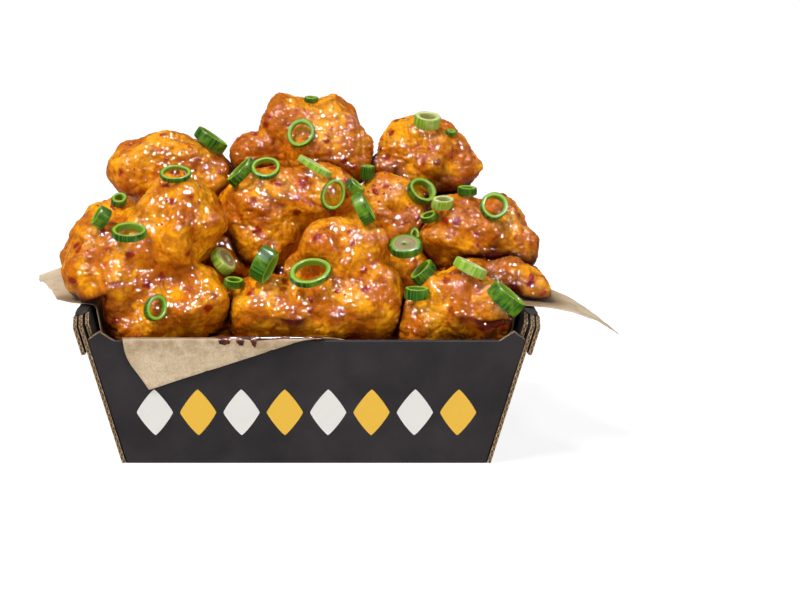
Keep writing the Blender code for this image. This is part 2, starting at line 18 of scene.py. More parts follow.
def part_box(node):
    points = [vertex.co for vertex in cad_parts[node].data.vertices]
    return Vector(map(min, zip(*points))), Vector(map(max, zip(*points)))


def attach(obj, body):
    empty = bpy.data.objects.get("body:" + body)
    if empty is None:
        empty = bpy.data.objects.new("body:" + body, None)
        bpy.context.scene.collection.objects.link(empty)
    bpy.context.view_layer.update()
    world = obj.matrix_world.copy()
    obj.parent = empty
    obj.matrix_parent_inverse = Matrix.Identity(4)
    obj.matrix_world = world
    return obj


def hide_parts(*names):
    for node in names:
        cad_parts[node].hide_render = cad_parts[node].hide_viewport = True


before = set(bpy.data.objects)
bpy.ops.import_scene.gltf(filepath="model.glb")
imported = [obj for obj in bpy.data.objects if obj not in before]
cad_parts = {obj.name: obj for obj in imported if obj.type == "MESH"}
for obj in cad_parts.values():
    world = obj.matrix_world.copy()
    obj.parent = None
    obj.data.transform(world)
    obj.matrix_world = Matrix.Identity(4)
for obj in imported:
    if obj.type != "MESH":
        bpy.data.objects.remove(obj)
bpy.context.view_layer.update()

Array = np.ndarray
Triple = tuple[float, float, float]
Outline = list[tuple[float, float]]
Socket, Material, Mesh = bpy.types.NodeSocket, bpy.types.Material, bpy.types.Mesh

LOG = logging.getLogger("chicken_wings_serving")
MM = 0.001
FULL_TURN = 2 * math.pi


class Slot(Enum):
    """Material slots of the record."""

    BOARD = "board"
    PAPER = "paper"
    CRUST = "crust"
    ONION_GREEN = "onion_green"
    ONION_PALE = "onion_pale"


# Patterns in space


def lattice_draws(cells: Array, seed: int) -> Array:
    """Repeatable draws for the cells of a whole-number lattice.

    The three numbers of a cell are mixed with large primes, the bits are stirred twice, and each
    of four results is a different run of those bits.

    Args:
        cells: Whole numbers, shape (..., 3).
        seed: Which pattern.

    Returns:
        Values from 0 to 1, shape (..., 4).
    """
    cells = cells.astype(np.int64)
    mixed = np.full(cells.shape[:-1], seed * 2654435761)
    for axis, prime in enumerate((73856093, 19349663, 83492791)):
        mixed ^= cells[..., axis] * prime
    rows = []
    for salt in (0, 1013904223, 1664525, 22695477):
        bits = (mixed + salt) & 0xFFFFFFFF
        for shift in (15, 13):
            bits = ((bits ^ (bits >> shift)) * 2246822519) & 0xFFFFFFFF
        rows.append(((bits ^ (bits >> 16)) & 0xFFFFFF) / 0xFFFFFF)
    return np.stack(rows, axis=-1)


def soft_noise(points: Array, size: float, seed: int) -> Array:
    """Smooth noise from -1 to 1: draws at lattice corners, blended by eased distances.

    Args:
        points: Places in millimetres, shape (n, 3).
        size: Distance between lattice corners in millimetres.
        seed: Which pattern.

    Returns:
        One value a place.
    """
    scaled = points / size
    base = np.floor(scaled)
    part = scaled - base
    ease = part * part * (3 - 2 * part)
    total = np.zeros(len(points))
    for corner in np.ndindex(2, 2, 2):
        weight = np.prod(np.where(np.array(corner) == 1, ease, 1 - ease), axis=1)
        total += weight * lattice_draws(base + corner, seed)[:, 0]
    return total * 2 - 1


def knobs(points: Array, size: float, seed: int) -> Array:
    """Rounded knobs packed side by side, with sharp creases between them.

    Each lattice cell holds one knob centre, in its middle 70 percent; a knob's height falls as
    the square of the distance from it, and the highest knob at a place wins.

    Args:
        points: Places in millimetres, shape (n, 3).
        size: Spacing of the knobs in millimetres.
        seed: Which pattern.

    Returns:
        Heights from 0 in the deepest creases to 1 on the crowns.
    """
    scaled = points / size
    base = np.floor(scaled)
    best = np.zeros(len(points))
    for corner in np.ndindex(3, 3, 3):
        cell = base + np.array(corner) - 1
        draws = lattice_draws(cell, seed)
        gap = scaled - cell - 0.15 - 0.7 * draws[:, :3]
        reach = 0.75 + 0.4 * draws[:, 3]
        best = np.maximum(best, 1 - (gap ** 2).sum(axis=1) / reach ** 2)
    return best


# Meshes


def run_lengths(points: Array) -> Array:
    """How long the line through points is up to each of them."""
    return np.concatenate([[0.0], np.cumsum(np.linalg.norm(np.diff(points, axis=0), axis=1))])


def grid_quads(
        rows: int, columns: int, close_rows: bool = False, close_columns: bool = False) -> Array:
    """Corner numbers of the quads of a grid of points, row by row.

    Args:
        rows: Points along the first parameter.
        columns: Points along the second parameter.
        close_rows: Whether the last row joins the first.
        close_columns: Whether the last column joins the first.

    Returns:
        Whole numbers, shape (quads, 4).
    """
    spans = (rows if close_rows else rows - 1, columns if close_columns else columns - 1)
    i, j = (part.ravel() for part in np.indices(spans))
    row, below, right = i * columns, (i + 1) % rows * columns, (j + 1) % columns
    return np.stack([row + j, below + j, below + right, row + right], axis=1)


def cube_ball(side: int) -> tuple[Array, Array]:
    """A closed ball of six square patches with even quads.

    A patch is tan(u), tan(v) on a cube's face for equal steps of u and v from -45 to 45 degrees,
    drawn in to length one; corners that patches share are one corner.

    Args:
        side: Quads along each side of a patch.

    Returns:
        Directions, shape (n, 3), and quads that face outwards, shape (m, 4).
    """
    step = np.tan(np.linspace(-math.pi / 4, math.pi / 4, side + 1))
    u, v = (part.ravel() for part in np.meshgrid(step, step, indexing="ij"))
    one = np.ones_like(u)
    corners, quads = [], []
    flat = grid_quads(side + 1, side + 1)
    for axis in range(3):
        for sign in (1.0, -1.0):
            patch = np.roll(np.stack([one * sign, u, v * sign], axis=1), axis, axis=1)
            quads.append(flat + len(corners) * len(u))
            corners.append(patch)
    points = np.concatenate(corners)
    points /= np.linalg.norm(points, axis=1, keepdims=True)
    _, first, back = np.unique(np.round(points, 6), axis=0, return_index=True, return_inverse=True)
    return points[first], back.reshape(-1)[np.concatenate(quads)]


def corner_normals(points: Array, quads: Array) -> Array:
    """Unit normals at a mesh's corners: the crossed diagonals of the quads round each, summed.

    Args:
        points: Corners, shape (n, 3).
        quads: Corner numbers, shape (m, 4).

    Returns:
        Normals, shape (n, 3).
    """
    a, b, c, d = (points[quads[:, k]] for k in range(4))
    across = np.cross(c - a, d - b)
    total = np.zeros_like(points)
    for k in range(4):
        for axis in range(3):
            total[:, axis] += np.bincount(quads[:, k], across[:, axis], len(points))
    return total / np.maximum(np.linalg.norm(total, axis=1, keepdims=True), 1e-9)


def smoothed(values: Array, quads: Array, rounds: int) -> Array:
    """Values at a mesh's corners, each replaced by the mean round it a number of times.

    Args:
        values: One row a corner.
        quads: Corner numbers, shape (m, 4).
        rounds: How many times.

    Returns:
        The smoothed values.
    """
    edges = np.concatenate([quads[:, [k, (k + 1) % 4]] for k in range(4)])
    starts, ends = edges[:, 0], edges[:, 1]
    count = np.bincount(starts, minlength=len(values)) + np.bincount(ends, minlength=len(values))
    values = values.reshape(len(count), -1).astype(float)
    for _ in range(rounds):
        total = np.stack([
            np.bincount(starts, column[ends], len(count))
            + np.bincount(ends, column[starts], len(count))
            for column in values.T], axis=1)
        values = total / count[:, None]
    return values


def set_attribute(mesh: Mesh, name: str, values: Array) -> None:
    """Keeps one number at each corner of a mesh for its finish to read."""
    mesh.attributes.new(name, "FLOAT", "POINT").data.foreach_set("value", values.astype(np.float32))


def quad_mesh(name: str, points: Array, quads: Array) -> Mesh:
    """A mesh in metres from corners in millimetres.

    Args:
        name: The mesh's name.
        points: Corners, shape (n, 3).
        quads: Corner numbers, shape (m, 4).

    Returns:
        The mesh, shaded smooth.
    """
    mesh = bpy.data.meshes.new(name)
    mesh.vertices.add(len(points))
    mesh.vertices.foreach_set("co", (points * MM).astype(np.float32).ravel())
    mesh.loops.add(quads.size)
    mesh.loops.foreach_set("vertex_index", quads.astype(np.int32).ravel())
    mesh.polygons.add(len(quads))
    mesh.polygons.foreach_set("loop_start", np.arange(0, quads.size, 4, dtype=np.int32))
    mesh.update(calc_edges=True)
    mesh.shade_smooth()
    return mesh


def set_down(
        name: str, mesh: Mesh, finishes: list[Material],
        nodes: tuple[str, ...] = ()) -> bpy.types.Object:
    """Puts a piece in the scene, lets it ride on the part and hides the CAD nodes that it replaces.

    Args:
        name: The piece's name.
        mesh: Its mesh, in place.
        finishes: Its materials, in the order of its faces' numbers.
        nodes: CAD nodes that it replaces.

    Returns:
        The piece.
    """
    piece = bpy.data.objects.new(name, mesh)
    bpy.context.scene.collection.objects.link(piece)
    for finish in finishes:
        mesh.materials.append(finish)
    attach(piece, "root")
    if nodes:
        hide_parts(*nodes)
    LOG.info("%s: %d faces", name, len(mesh.polygons))
    return piece


# Finishes


class Bench:
    """Puts the shader nodes of one finish together. Sizes are in millimetres on the piece."""

    def __init__(self, name: str) -> None:
        """Starts a material of that name."""
        self.material = bpy.data.materials.new(name)
        self.material.use_nodes = True
        self.tree = self.material.node_tree
        self.shader = self.tree.nodes["Principled BSDF"]
        self.place = self.tree.nodes.new("ShaderNodeTexCoord").outputs["Object"]

    def node(self, kind: str, inputs: dict, **settings: object) -> bpy.types.Node:
        """Adds a node, with values or sockets for its inputs.

        Args:
            kind: The node's type.
            inputs: Value or output socket for each input, by name or number.
            settings: Properties of the node.

        Returns:
            The node.
        """
        made = self.tree.nodes.new(kind)
        for name, value in settings.items():
            setattr(made, name, value)
        for name, value in inputs.items():
            if isinstance(value, Socket):
                self.tree.links.new(value, made.inputs[name])
            else:
                made.inputs[name].default_value = value
        return made

    def noise(
            self, size: float, detail: float = 3.0, rough: float = 0.55, bend: float = 0.0,
            stretch: Triple | None = None) -> Socket:
        """Cloudy noise with features of a size, longer along an axis where it is stretched."""
        at = self.place
        if stretch:
            at = self.node("ShaderNodeMapping", {"Vector": at, "Scale": stretch}).outputs[0]
        return self.node("ShaderNodeTexNoise", {
            "Vector": at, "Scale": 1 / (size * MM), "Detail": detail, "Roughness": rough,
            "Distortion": bend}).outputs["Fac"]

    def cells(self, size: float) -> Socket:
        """Distances to the middles of scattered cells of a size, in cells."""
        inputs = {"Vector": self.place, "Scale": 1 / (size * MM)}
        return self.node("ShaderNodeTexVoronoi", inputs).outputs["Distance"]

    def read(self, name: str) -> Socket:
        """A number kept on the piece."""
        return self.node("ShaderNodeAttribute", {}, attribute_name=name).outputs["Fac"]

    def calc(self, operation: str, *numbers: Socket | float) -> Socket:
        """What an arithmetic node makes of numbers or sockets."""
        return self.node("ShaderNodeMath", dict(enumerate(numbers)), operation=operation).outputs[0]

    def times(self, a: Socket, b: Socket | float) -> Socket:
        """A product."""
        return self.calc("MULTIPLY", a, b)

    def span(
            self, value: Socket, low: float, high: float, to_low: float = 0.0,
            to_high: float = 1.0) -> Socket:
        """Brings a value from one range to another, held at its ends."""
        return self.node("ShaderNodeMapRange", {
            "Value": value, "From Min": low, "From Max": high, "To Min": to_low, "To Max": to_high,
        }, interpolation_type="SMOOTHSTEP").outputs[0]

    def mix(self, share: Socket, a: Socket | Triple, b: Socket | Triple) -> Socket:
        """One colour with a share of another over it."""
        a, b = (colour if isinstance(colour, Socket) else (*colour, 1.0) for colour in (a, b))
        return self.node("ShaderNodeMix", {0: share, 6: a, 7: b}, data_type="RGBA").outputs[2]

    def bump(
            self, height: Socket, depth: float, strength: float = 1.0,
            on: Socket | None = None) -> Socket:
        """Relief of a depth in millimetres, on top of another."""
        inputs = {"Height": height, "Distance": depth * MM, "Strength": strength}
        if on:
            inputs["Normal"] = on
        return self.node("ShaderNodeBump", inputs).outputs[0]

    def finish(self, links: dict[str, Socket], **values: object) -> Material:
        """Connects the shader and sets its plain values.

        Args:
            links: Sockets for the shader's inputs.
            values: Values for its other inputs, with underscores for spaces.

        Returns:
            The material.
        """
        for name, socket in links.items():
            self.tree.links.new(socket, self.shader.inputs[name])
        for name, value in values.items():
            self.shader.inputs[name.replace("_", " ")].default_value = value
        return self.material


@dataclass(frozen=True)
class GlazedCrust:
    """Fried batter under sweet hot glaze. Reads "knob", the relief's height, which browns the low
    places as painted shade, and a mask of painted shade with pooled glaze. Sizes and depths of the
    relief that stays in the finish are in millimetres."""

    gold: Triple = (1.0, 0.40, 0.006)
    amber: Triple = (0.62, 0.160, 0.003)
    # Brown: random blotches, and painted shade low between the knobs.
    brown: Triple = (0.30, 0.050, 0.002)
    # Dark sauce colour: glaze pooled, and painted shade near other pieces, in valleys and on faces
    # turned down.
    sauce_and_shade: Triple = (0.085, 0.008, 0.0015)
    chilli: Triple = (0.26, 0.008, 0.001)
    run: Triple = (0.30, 0.030, 0.002)
    bead_size: float = 2.5
    bead_depth: float = 0.85
    swell_size: float = 4.0
    swell_depth: float = 0.50

    def make(self) -> Material:
        """The finish."""
        bench = Bench("glazed_crust")
        patches = bench.span(bench.noise(16.0, 4.0, 0.6, 0.5), 0.43, 0.60)
        blotches = bench.span(bench.noise(5.0, 4.0, 0.65, 0.5), 0.42, 0.66)
        colour = bench.mix(patches, self.amber, self.gold)
        colour = bench.mix(bench.times(blotches, 0.60), colour, self.brown)
        # Painted shade, with glaze lying thicker: brown down between the knobs, fading out on their
        # crowns.
        knob = bench.span(bench.read("knob"), 0.25, 0.60, 0.75, 0.0)
        colour = bench.mix(knob, colour, self.brown)
        runs = bench.span(bench.noise(9.0, 5.0, 0.6, 1.2), 0.60, 0.72)
        colour = bench.mix(bench.times(runs, 0.6), colour, self.run)
        stain = bench.calc("ADD", bench.cells(9.0), bench.times(bench.noise(2.2, 3.0), 0.42))
        colour = bench.mix(bench.span(stain, 0.32, 0.52, 0.92, 0.0), colour, self.chilli)
        # Painted shade, partly pooled glaze: the dark sauce colour near other pieces and the paper, in
        # valleys between lobes and on faces turned down.
        shade_and_glaze_pool = bench.span(bench.read("shade_and_glaze_pool"), 0.12, 0.90)
        colour = bench.mix(shade_and_glaze_pool, colour, self.sauce_and_shade)
        rough = bench.span(bench.noise(3.5, 3.0), 0.38, 0.66, 0.22, 0.50)
        away = bench.cells(self.bead_size)
        beads = bench.calc("SUBTRACT", 1.0, bench.times(away, away))
        beads = bench.times(beads, bench.span(bench.noise(11.0, 2.0), 0.36, 0.60, 0.45, 1.0))
        grain = bench.bump(beads, self.bead_depth)
        grain = bench.bump(bench.noise(self.swell_size, 1.5, 0.5), self.swell_depth, on=grain)
        return bench.finish(
            {"Base Color": colour, "Roughness": rough, "Normal": grain, "Coat Normal": grain},
            Subsurface_Weight=0.10, Subsurface_Radius=(1.0, 0.25, 0.03), Subsurface_Scale=0.0020,
            Coat_Weight=1.0, Coat_Roughness=0.05, Coat_IOR=1.5, IOR=1.4, Specular_IOR_Level=0.0)


@dataclass(frozen=True)
class Glaze:
    """Glaze by itself, run together in pools."""

    deep: Triple = (0.050, 0.006, 0.001)
    thin: Triple = (0.15, 0.022, 0.002)

    def make(self) -> Material:
        """The finish."""
        bench = Bench("hot_glaze")
        colour = bench.mix(bench.span(bench.noise(3.0), 0.4, 0.65), self.deep, self.thin)
        relief = bench.bump(bench.noise(2.6, 1.0), 0.5, 0.6)
        return bench.finish(
            {"Base Color": colour, "Normal": relief, "Coat Normal": relief},
            Roughness=0.3, Specular_IOR_Level=0.2, Coat_Weight=1.0, Coat_Roughness=0.05, Coat_IOR=1.7)


@dataclass(frozen=True)
class Chilli:
    """Dry chilli flakes wetted by the glaze."""

    dark: Triple = (0.30, 0.006, 0.0005)
    bright: Triple = (0.55, 0.022, 0.001)

    def make(self) -> Material:
        """The finish."""
        bench = Bench("chilli_skin")
        colour = bench.mix(bench.span(bench.noise(1.2), 0.4, 0.65), self.dark, self.bright)
        return bench.finish(
            {"Base Color": colour, "Normal": bench.bump(bench.noise(0.5), 0.1)},
            Roughness=0.4, Specular_IOR_Level=0.15, Coat_Weight=0.6, Coat_Roughness=0.06)


@dataclass(frozen=True)
class BlackBoard:
    """Black printed face of corrugated board, clouded, with fine dust on it."""

    ink: Triple = (0.0210, 0.0170, 0.0192)
    rubbed: Triple = (0.0330, 0.0270, 0.0300)
    dust: Triple = (0.052, 0.045, 0.048)

    def make(self) -> Material:
        """The finish."""
        bench = Bench("black_board")
        dust = bench.span(bench.noise(0.55, 2.0, 0.7), 0.52, 0.80)
        cloud = bench.span(bench.noise(26.0, 3.0), 0.3, 0.7)
        colour = bench.mix(cloud, self.ink, self.rubbed)
        colour = bench.mix(bench.times(dust, 0.40), colour, self.dust)
        rough = bench.span(bench.noise(9.0, 4.0), 0.3, 0.7, 0.50, 0.66)
        relief = bench.bump(bench.noise(0.4, 3.0), 0.05, 0.6)
        relief = bench.bump(bench.noise(6.0, 2.0), 0.18, 0.5, relief)
        return bench.finish(
            {"Base Color": colour, "Roughness": rough, "Normal": relief}, Specular_IOR_Level=0.25)


@dataclass(frozen=True)
class CutBoard:
    """Cut edge of corrugated board: a wave of brown paper between two liners. Reads the UV map,
    whose first number is the run along the edge and second the way across it."""

    pitch: float = 3.2
    shade: Triple = (0.085, 0.050, 0.024)
    kraft: tuple[Triple, Triple] = ((0.36, 0.22, 0.105), (0.60, 0.42, 0.24))

    def make(self) -> Material:
        """The finish."""
        bench = Bench("cut_board")
        split = bench.node("ShaderNodeSeparateXYZ", {
            "Vector": bench.node("ShaderNodeUVMap", {}, uv_map="board").outputs[0]})
        run, across = split.outputs[0], split.outputs[1]
        wave = bench.calc("SINE", bench.times(run, FULL_TURN / self.pitch))
        middle = bench.calc("MULTIPLY_ADD", wave, 0.33, 0.5)
        off = bench.calc("ABSOLUTE", bench.calc("SUBTRACT", across, middle))
        flute = bench.span(off, 0.05, 0.16, 1.0, 0.0)
        liner = bench.span(bench.calc("ABSOLUTE", bench.calc("SUBTRACT", across, 0.5)), 0.30, 0.42)
        solid = bench.calc("MAXIMUM", flute, liner)
        kraft = bench.mix(bench.span(bench.noise(1.6, 3.0), 0.3, 0.7), *self.kraft)
        colour = bench.mix(solid, self.shade, kraft)
        return bench.finish(
            {"Base Color": colour, "Normal": bench.bump(solid, 0.3, 0.7)},
            Roughness=0.85, Specular_IOR_Level=0.2)


@dataclass(frozen=True)
class Print:
    """Flat ink on the board, a little worn."""

    name: str
    colour: Triple
    board: Triple = (0.05, 0.045, 0.045)

    def make(self) -> Material:
        """The finish."""
        bench = Bench(self.name)
        worn = bench.span(bench.noise(0.6, 3.0, 0.7), 0.60, 0.80, 0.0, 0.35)
        colour = bench.mix(worn, self.colour, self.board)
        relief = bench.bump(bench.noise(0.4, 3.0), 0.04, 0.6)
        return bench.finish(
            {"Base Color": colour, "Normal": relief}, Roughness=0.55, Specular_IOR_Level=0.3)


@dataclass(frozen=True)
class BrownPaper:
    """Unbleached greaseproof paper with fibres and grease marks. Reads "grease"."""

    tones: tuple[Triple, Triple] = ((0.60, 0.455, 0.285), (0.73, 0.585, 0.40))
    fibre: Triple = (0.46, 0.33, 0.19)
    grease: Triple = (0.27, 0.165, 0.075)
    fleck: Triple = (0.30, 0.20, 0.10)

    def make(self) -> Material:
        """The finish."""
        bench = Bench("brown_paper")
        fibres = bench.noise(1.1, 3.0, 0.6, 0.0, (1.0, 0.25, 0.25))
        colour = bench.mix(bench.span(bench.noise(9.0, 4.0, 0.6), 0.3, 0.7), *self.tones)
        colour = bench.mix(bench.span(fibres, 0.55, 0.75, 0.0, 0.5), colour, self.fibre)
        spots = bench.calc("ADD", bench.read("grease"), bench.times(bench.noise(5.0, 5.0, 0.7), 0.9))
        spots = bench.span(spots, 0.52, 1.15)
        colour = bench.mix(bench.times(spots, 0.90), colour, self.grease)
        flecks = bench.span(bench.noise(0.9, 3.0, 0.7), 0.40, 0.62, 0.0, 0.30)
        colour = bench.mix(flecks, colour, self.fleck)
        rough = bench.span(spots, 0.0, 1.0, 0.72, 0.38)
        relief = bench.bump(fibres, 0.06, 0.6)
        relief = bench.bump(bench.noise(5.0, 3.0), 0.35, 0.35, relief)
        return bench.finish(
            {"Base Color": colour, "Roughness": rough, "Normal": relief},
            Specular_IOR_Level=0.3, Sheen_Weight=0.05)


@dataclass(frozen=True)
class Onion:
    """Spring onion. Reads "depth", from 0 on the skin to 1 inside, "turn" round the ring, "cut",
    which is 1 on the cut faces, and "layer", the leaves counted from the skin."""

    name: str
    skin: Triple
    streak: Triple
    flesh: Triple
    # Inside: the leaves' inner colour on the cut faces, and painted shade on the tube's inner wall.
    inside: Triple
    core: Triple = (0.30, 0.20, 0.10)

    def make(self) -> Material:
        """The finish."""
        bench = Bench(self.name)
        ribs = bench.node("ShaderNodeTexNoise", {
            "W": bench.times(bench.read("turn"), 26.0), "Scale": 1.0, "Detail": 3.0},
            noise_dimensions="1D").outputs["Fac"]
        skin = bench.mix(bench.span(ribs, 0.40, 0.60), self.streak, self.skin)
        skin = bench.mix(bench.span(bench.noise(6.0), 0.45, 0.7, 0.0, 0.5), skin, self.flesh)
        depth, cut = bench.read("depth"), bench.read("cut")
        layer = bench.read("layer")
        rings = bench.calc("SINE", bench.times(layer, FULL_TURN))
        flesh = bench.mix(bench.span(rings, 0.0, 0.9), self.flesh, self.inside)
        core = bench.mix(bench.span(rings, 0.75, 0.95), self.core, self.skin)
        flesh = bench.mix(bench.span(layer, 1.35, 1.75), flesh, core)
        flesh = bench.mix(bench.span(depth, 0.05, 0.35, 0.85, 0.0), flesh, self.skin)
        # The tube's inner wall takes the darker inside colour: painted shade in the hollow.
        colour = bench.mix(bench.span(depth, 0.55, 0.95), skin, self.inside)
        colour = bench.mix(bench.span(cut, 0.3, 0.7), colour, flesh)
        relief = bench.bump(ribs, 0.10, 0.7)
        return bench.finish(
            {"Base Color": colour, "Normal": relief}, Roughness=0.38, Specular_IOR_Level=0.2,
            Subsurface_Weight=0.05, Subsurface_Radius=(0.5, 1.0, 0.05), Subsurface_Scale=0.0010,
            Coat_Weight=0.3, Coat_Roughness=0.10)


# Tray


@dataclass(frozen=True)
class Plane:
    """A board's own plane: where its outline starts, and its directions across and up."""

    corner: Triple
    across: Triple
    up: Triple

    def matrix(self) -> Array:
        """Unit directions across, up and outwards, as rows."""
        across, up = (np.array(v) / np.linalg.norm(v) for v in (self.across, self.up))
        return np.stack([across, up, np.cross(across, up)])


@dataclass
class Tray:
    """The folded tray of black corrugated board, in millimetres: its walls lean outwards, each long
    wall ends in two pointed ears, and each end wall folds over into a cuff and a flap."""

    floor_length: float = 155.0
    floor_depth: float = 112.0
    front_height: float = 55.0
    end_height: float = 64.5
    lean: float = math.radians(13.9)
    board: float = 1.6
    ear_width: float = 11.6
    ear_rise: float = 4.2
    corner_cut: tuple[float, float] = (8.0, 3.0)
    cuff_drop: float = 15.0
    flap_drop: float = 12.0
    cuff_gap: float = 0.8
    end_proud: float = 0.5
    seam: float = 0.45
    edge_round: float = 0.28

    def long_plane(self) -> Plane:
        """The front wall's outer face."""
        up = (0, -math.sin(self.lean), math.cos(self.lean))
        return Plane((0, -self.floor_depth / 2, 0), (1, 0, 0), up)

    def end_plane(self) -> Plane:
        """The right end wall's outer face."""
        up = (math.sin(self.lean), 0, math.cos(self.lean))
        return Plane((self.floor_length / 2, 0, 0), (0, 1, 0), up)

    def side_outline(self) -> tuple[Outline, set[int]]:
        """The front wall, with a pointed ear at each upper corner.

        Returns:
            Its outline, and the numbers of the edges that are cut rather than folded.
        """
        low = self.floor_length / 2 - self.board / math.cos(self.lean) - self.seam
        rise = self.front_height / math.cos(self.lean)
        high = low + rise * math.sin(self.lean)
        tip = self.floor_length / 2 + rise * math.sin(self.lean)
        half = [
            (low, 0.0), (high, rise - 1.2), (high + 0.2, rise + 0.6),
            (tip - self.ear_width / 2 - 0.8, rise + self.ear_rise),
            (tip - self.ear_width, rise + 0.6), (tip - self.ear_width - 1.0, rise)]
        outline = half + [(-a, b) for a, b in reversed(half)]
        return outline, {1, 2, 3, 4, 6, 7, 8, 9}

    def end_outline(
            self, bottom: float, top: float, proud: float) -> tuple[Outline, set[int]]:
        """A board of the end wall between two heights, with its upper corners cut off.

        Args:
            bottom: Height of its lower edge.
            top: Height of its upper edge.
            proud: How far its edges stand past the long walls' faces.

        Returns:
            Its outline, and the numbers of the edges that are cut rather than folded.
        """
        slant = 1 / math.cos(self.lean)
        low, high = bottom * slant, top * slant
        shoulder = high - self.corner_cut[1]
        half_low, half_shoulder = (
            self.floor_depth / 2 + proud + at * math.sin(self.lean) for at in (low, shoulder))
        tip = half_shoulder - self.corner_cut[0]
        half = [(half_low, low), (half_shoulder, shoulder), (tip, high)]
        outline = half + [(-a, b) for a, b in reversed(half)]
        return outline, {0, 1, 3, 4, 5}

    def board_arrays(
            self, outline: Outline, cut: set[int], near: float, far: float,
            plane: Plane) -> tuple[Array, list[list[int]], list[int], Array]:
        """A flat board: its outline at two depths, joined by a strip.

        Args:
            outline: Points in the board's plane.
            cut: Numbers of the outline's edges that show the cut board.
            near: Depth of the inner face along the outward normal.
            far: Depth of the outer face.
            plane: The board's plane.

        Returns:
            Corners, faces, the finish of each face, and a UV pair for each face corner.
        """
        flat = np.array(outline)
        count = len(flat)
        rows = plane.matrix()
        corners = np.concatenate([
            np.array(plane.corner) + flat @ rows[:2] + depth * rows[2] for depth in (near, far)])
        faces = [list(range(count))[::-1], list(range(count, 2 * count))]
        finishes = [0, 0]
        uvs = [flat[faces[0]], flat]
        run = run_lengths(np.vstack([flat, flat[:1]]))
        for i in range(count):
            after = (i + 1) % count
            faces.append([i, after, count + after, count + i])
            finishes.append(1 if i in cut else 0)
            uvs.append(np.array([(run[i], 0), (run[i + 1], 0), (run[i + 1], 1), (run[i], 1)]))
        ahead = np.roll(flat, -1, axis=0)
        if np.sum(flat[:, 0] * ahead[:, 1] - ahead[:, 0] * flat[:, 1]) < 0:
            faces = [face[::-1] for face in faces]
            uvs = [part[::-1] for part in uvs]
        return corners, faces, finishes, np.concatenate(uvs)

    def boards(self) -> list[tuple]:
        """Outline with its cut edges, inner and outer depth, and plane of each board of one half of
        the tray: the front, the end, the cuff outside it and the flap inside it."""
        thick, gap, top, proud = self.board, self.cuff_gap, self.end_height, self.end_proud
        plane = self.end_plane()
        return [
            (self.side_outline(), -thick, 0.0, self.long_plane()),
            (self.end_outline(0.0, top, proud), -thick, 0.0, plane),
            (self.end_outline(top - self.cuff_drop, top, proud + 0.3), gap, gap + thick, plane),
            (self.end_outline(top - self.flap_drop, top, -2.4), -2 * thick - gap, -thick - gap, plane),
        ]

    def fold_strip(self) -> tuple[Array, Array]:
        """The rounded fold that the end's three layers share at their top.

        A flat arch is carried along the top edge and drawn in at its two ends. It is 3.15
        |cos t|^0.75 deep to each side of the layers' middle, 1.45 |sin t|^0.6 high above the edge
        and 0.9 |sin t| below it.

        Returns:
            Corners and quads.
        """
        around, along = 28, 40
        t = np.linspace(0, FULL_TURN, around, endpoint=False)
        slant = self.end_height / math.cos(self.lean)
        half = self.floor_depth / 2 + slant * math.sin(self.lean) - self.corner_cut[0] - 0.2
        depth = 3.15 * np.sign(np.cos(t)) * np.abs(np.cos(t)) ** 0.75 - 0.8
        height = np.where(np.sin(t) > 0, 1.45 * np.abs(np.sin(t)) ** 0.6, -0.9 * np.abs(np.sin(t)))
        s = np.linspace(-1, 1, along)
        close = np.sqrt(np.clip(1 - np.abs(s) ** 24, 0, 1))[:, None]
        rows = self.end_plane().matrix()
        wave = (0.12 * np.sin(s * 17.0) + 0.08 * np.sin(s * 41.0 + 1.0))[:, None]
        flat = np.stack(np.broadcast_arrays(
            s[:, None] * half, slant + (height + wave) * close, depth * close - 0.8 * (1 - close)),
            axis=-1).reshape(-1, 3)
        quads = grid_quads(along, around, close_columns=True)
        return np.array(self.end_plane().corner) + flat @ rows, quads

    def make(self) -> None:
        """Builds the tray and its printed band."""
        corners, faces, finishes, uvs = [], [], [], []
        start = 0

        def add(points: Array, shapes: list, numbers: list, pairs: Array) -> None:
            """Adds a shape and its copy turned half round the upright axis."""
            nonlocal start
            for turn in (1.0, -1.0):
                corners.append(points * (turn, turn, 1.0))
                faces.extend([[start + k for k in shape] for shape in shapes])
                finishes.extend(numbers)
                uvs.append(pairs)
                start += len(points)

        for (outline, cut), near, far, plane in self.boards():
            add(*self.board_arrays(outline, cut, near, far, plane))
        points, quads = self.fold_strip()
        add(points, quads.tolist(), [0] * len(quads), np.zeros((quads.size, 2)))
        mesh = bpy.data.meshes.new("tray")
        mesh.from_pydata((np.concatenate(corners) * MM).tolist(), [], faces)
        pairs = np.concatenate(uvs).astype(np.float32).ravel()
        mesh.uv_layers.new(name="board").data.foreach_set("uv", pairs)
        mesh.polygons.foreach_set("material_index", np.array(finishes, dtype=np.int32))
        clear = 0.8
        floor_side = np.array([self.floor_length - clear, self.floor_depth - clear, self.board]) * MM
        work = bmesh.new()
        work.from_mesh(mesh)
        slab = bmesh.ops.create_cube(work, size=1.0)["verts"]
        bmesh.ops.transform(
            work, verts=slab, matrix=(
                Matrix.Translation((0, 0, floor_side[2] / 2)) @ Matrix.Diagonal((*floor_side, 1.0))))
        bmesh.ops.recalc_face_normals(work, faces=work.faces)
        work.to_mesh(mesh)
        work.free()
        tray = set_down(
            "tray_boards", mesh, [BlackBoard().make(), CutBoard().make()], ("tray",))
        bevel = tray.modifiers.new("soft_edges", "BEVEL")
        bevel.width = self.edge_round * MM
        bevel.segments = 2
        bevel.limit_method = "ANGLE"
        bevel.angle_limit = math.radians(25)
        mesh.shade_smooth()
        mesh.set_sharp_from_angle(angle=math.radians(24))
        self.make_print()

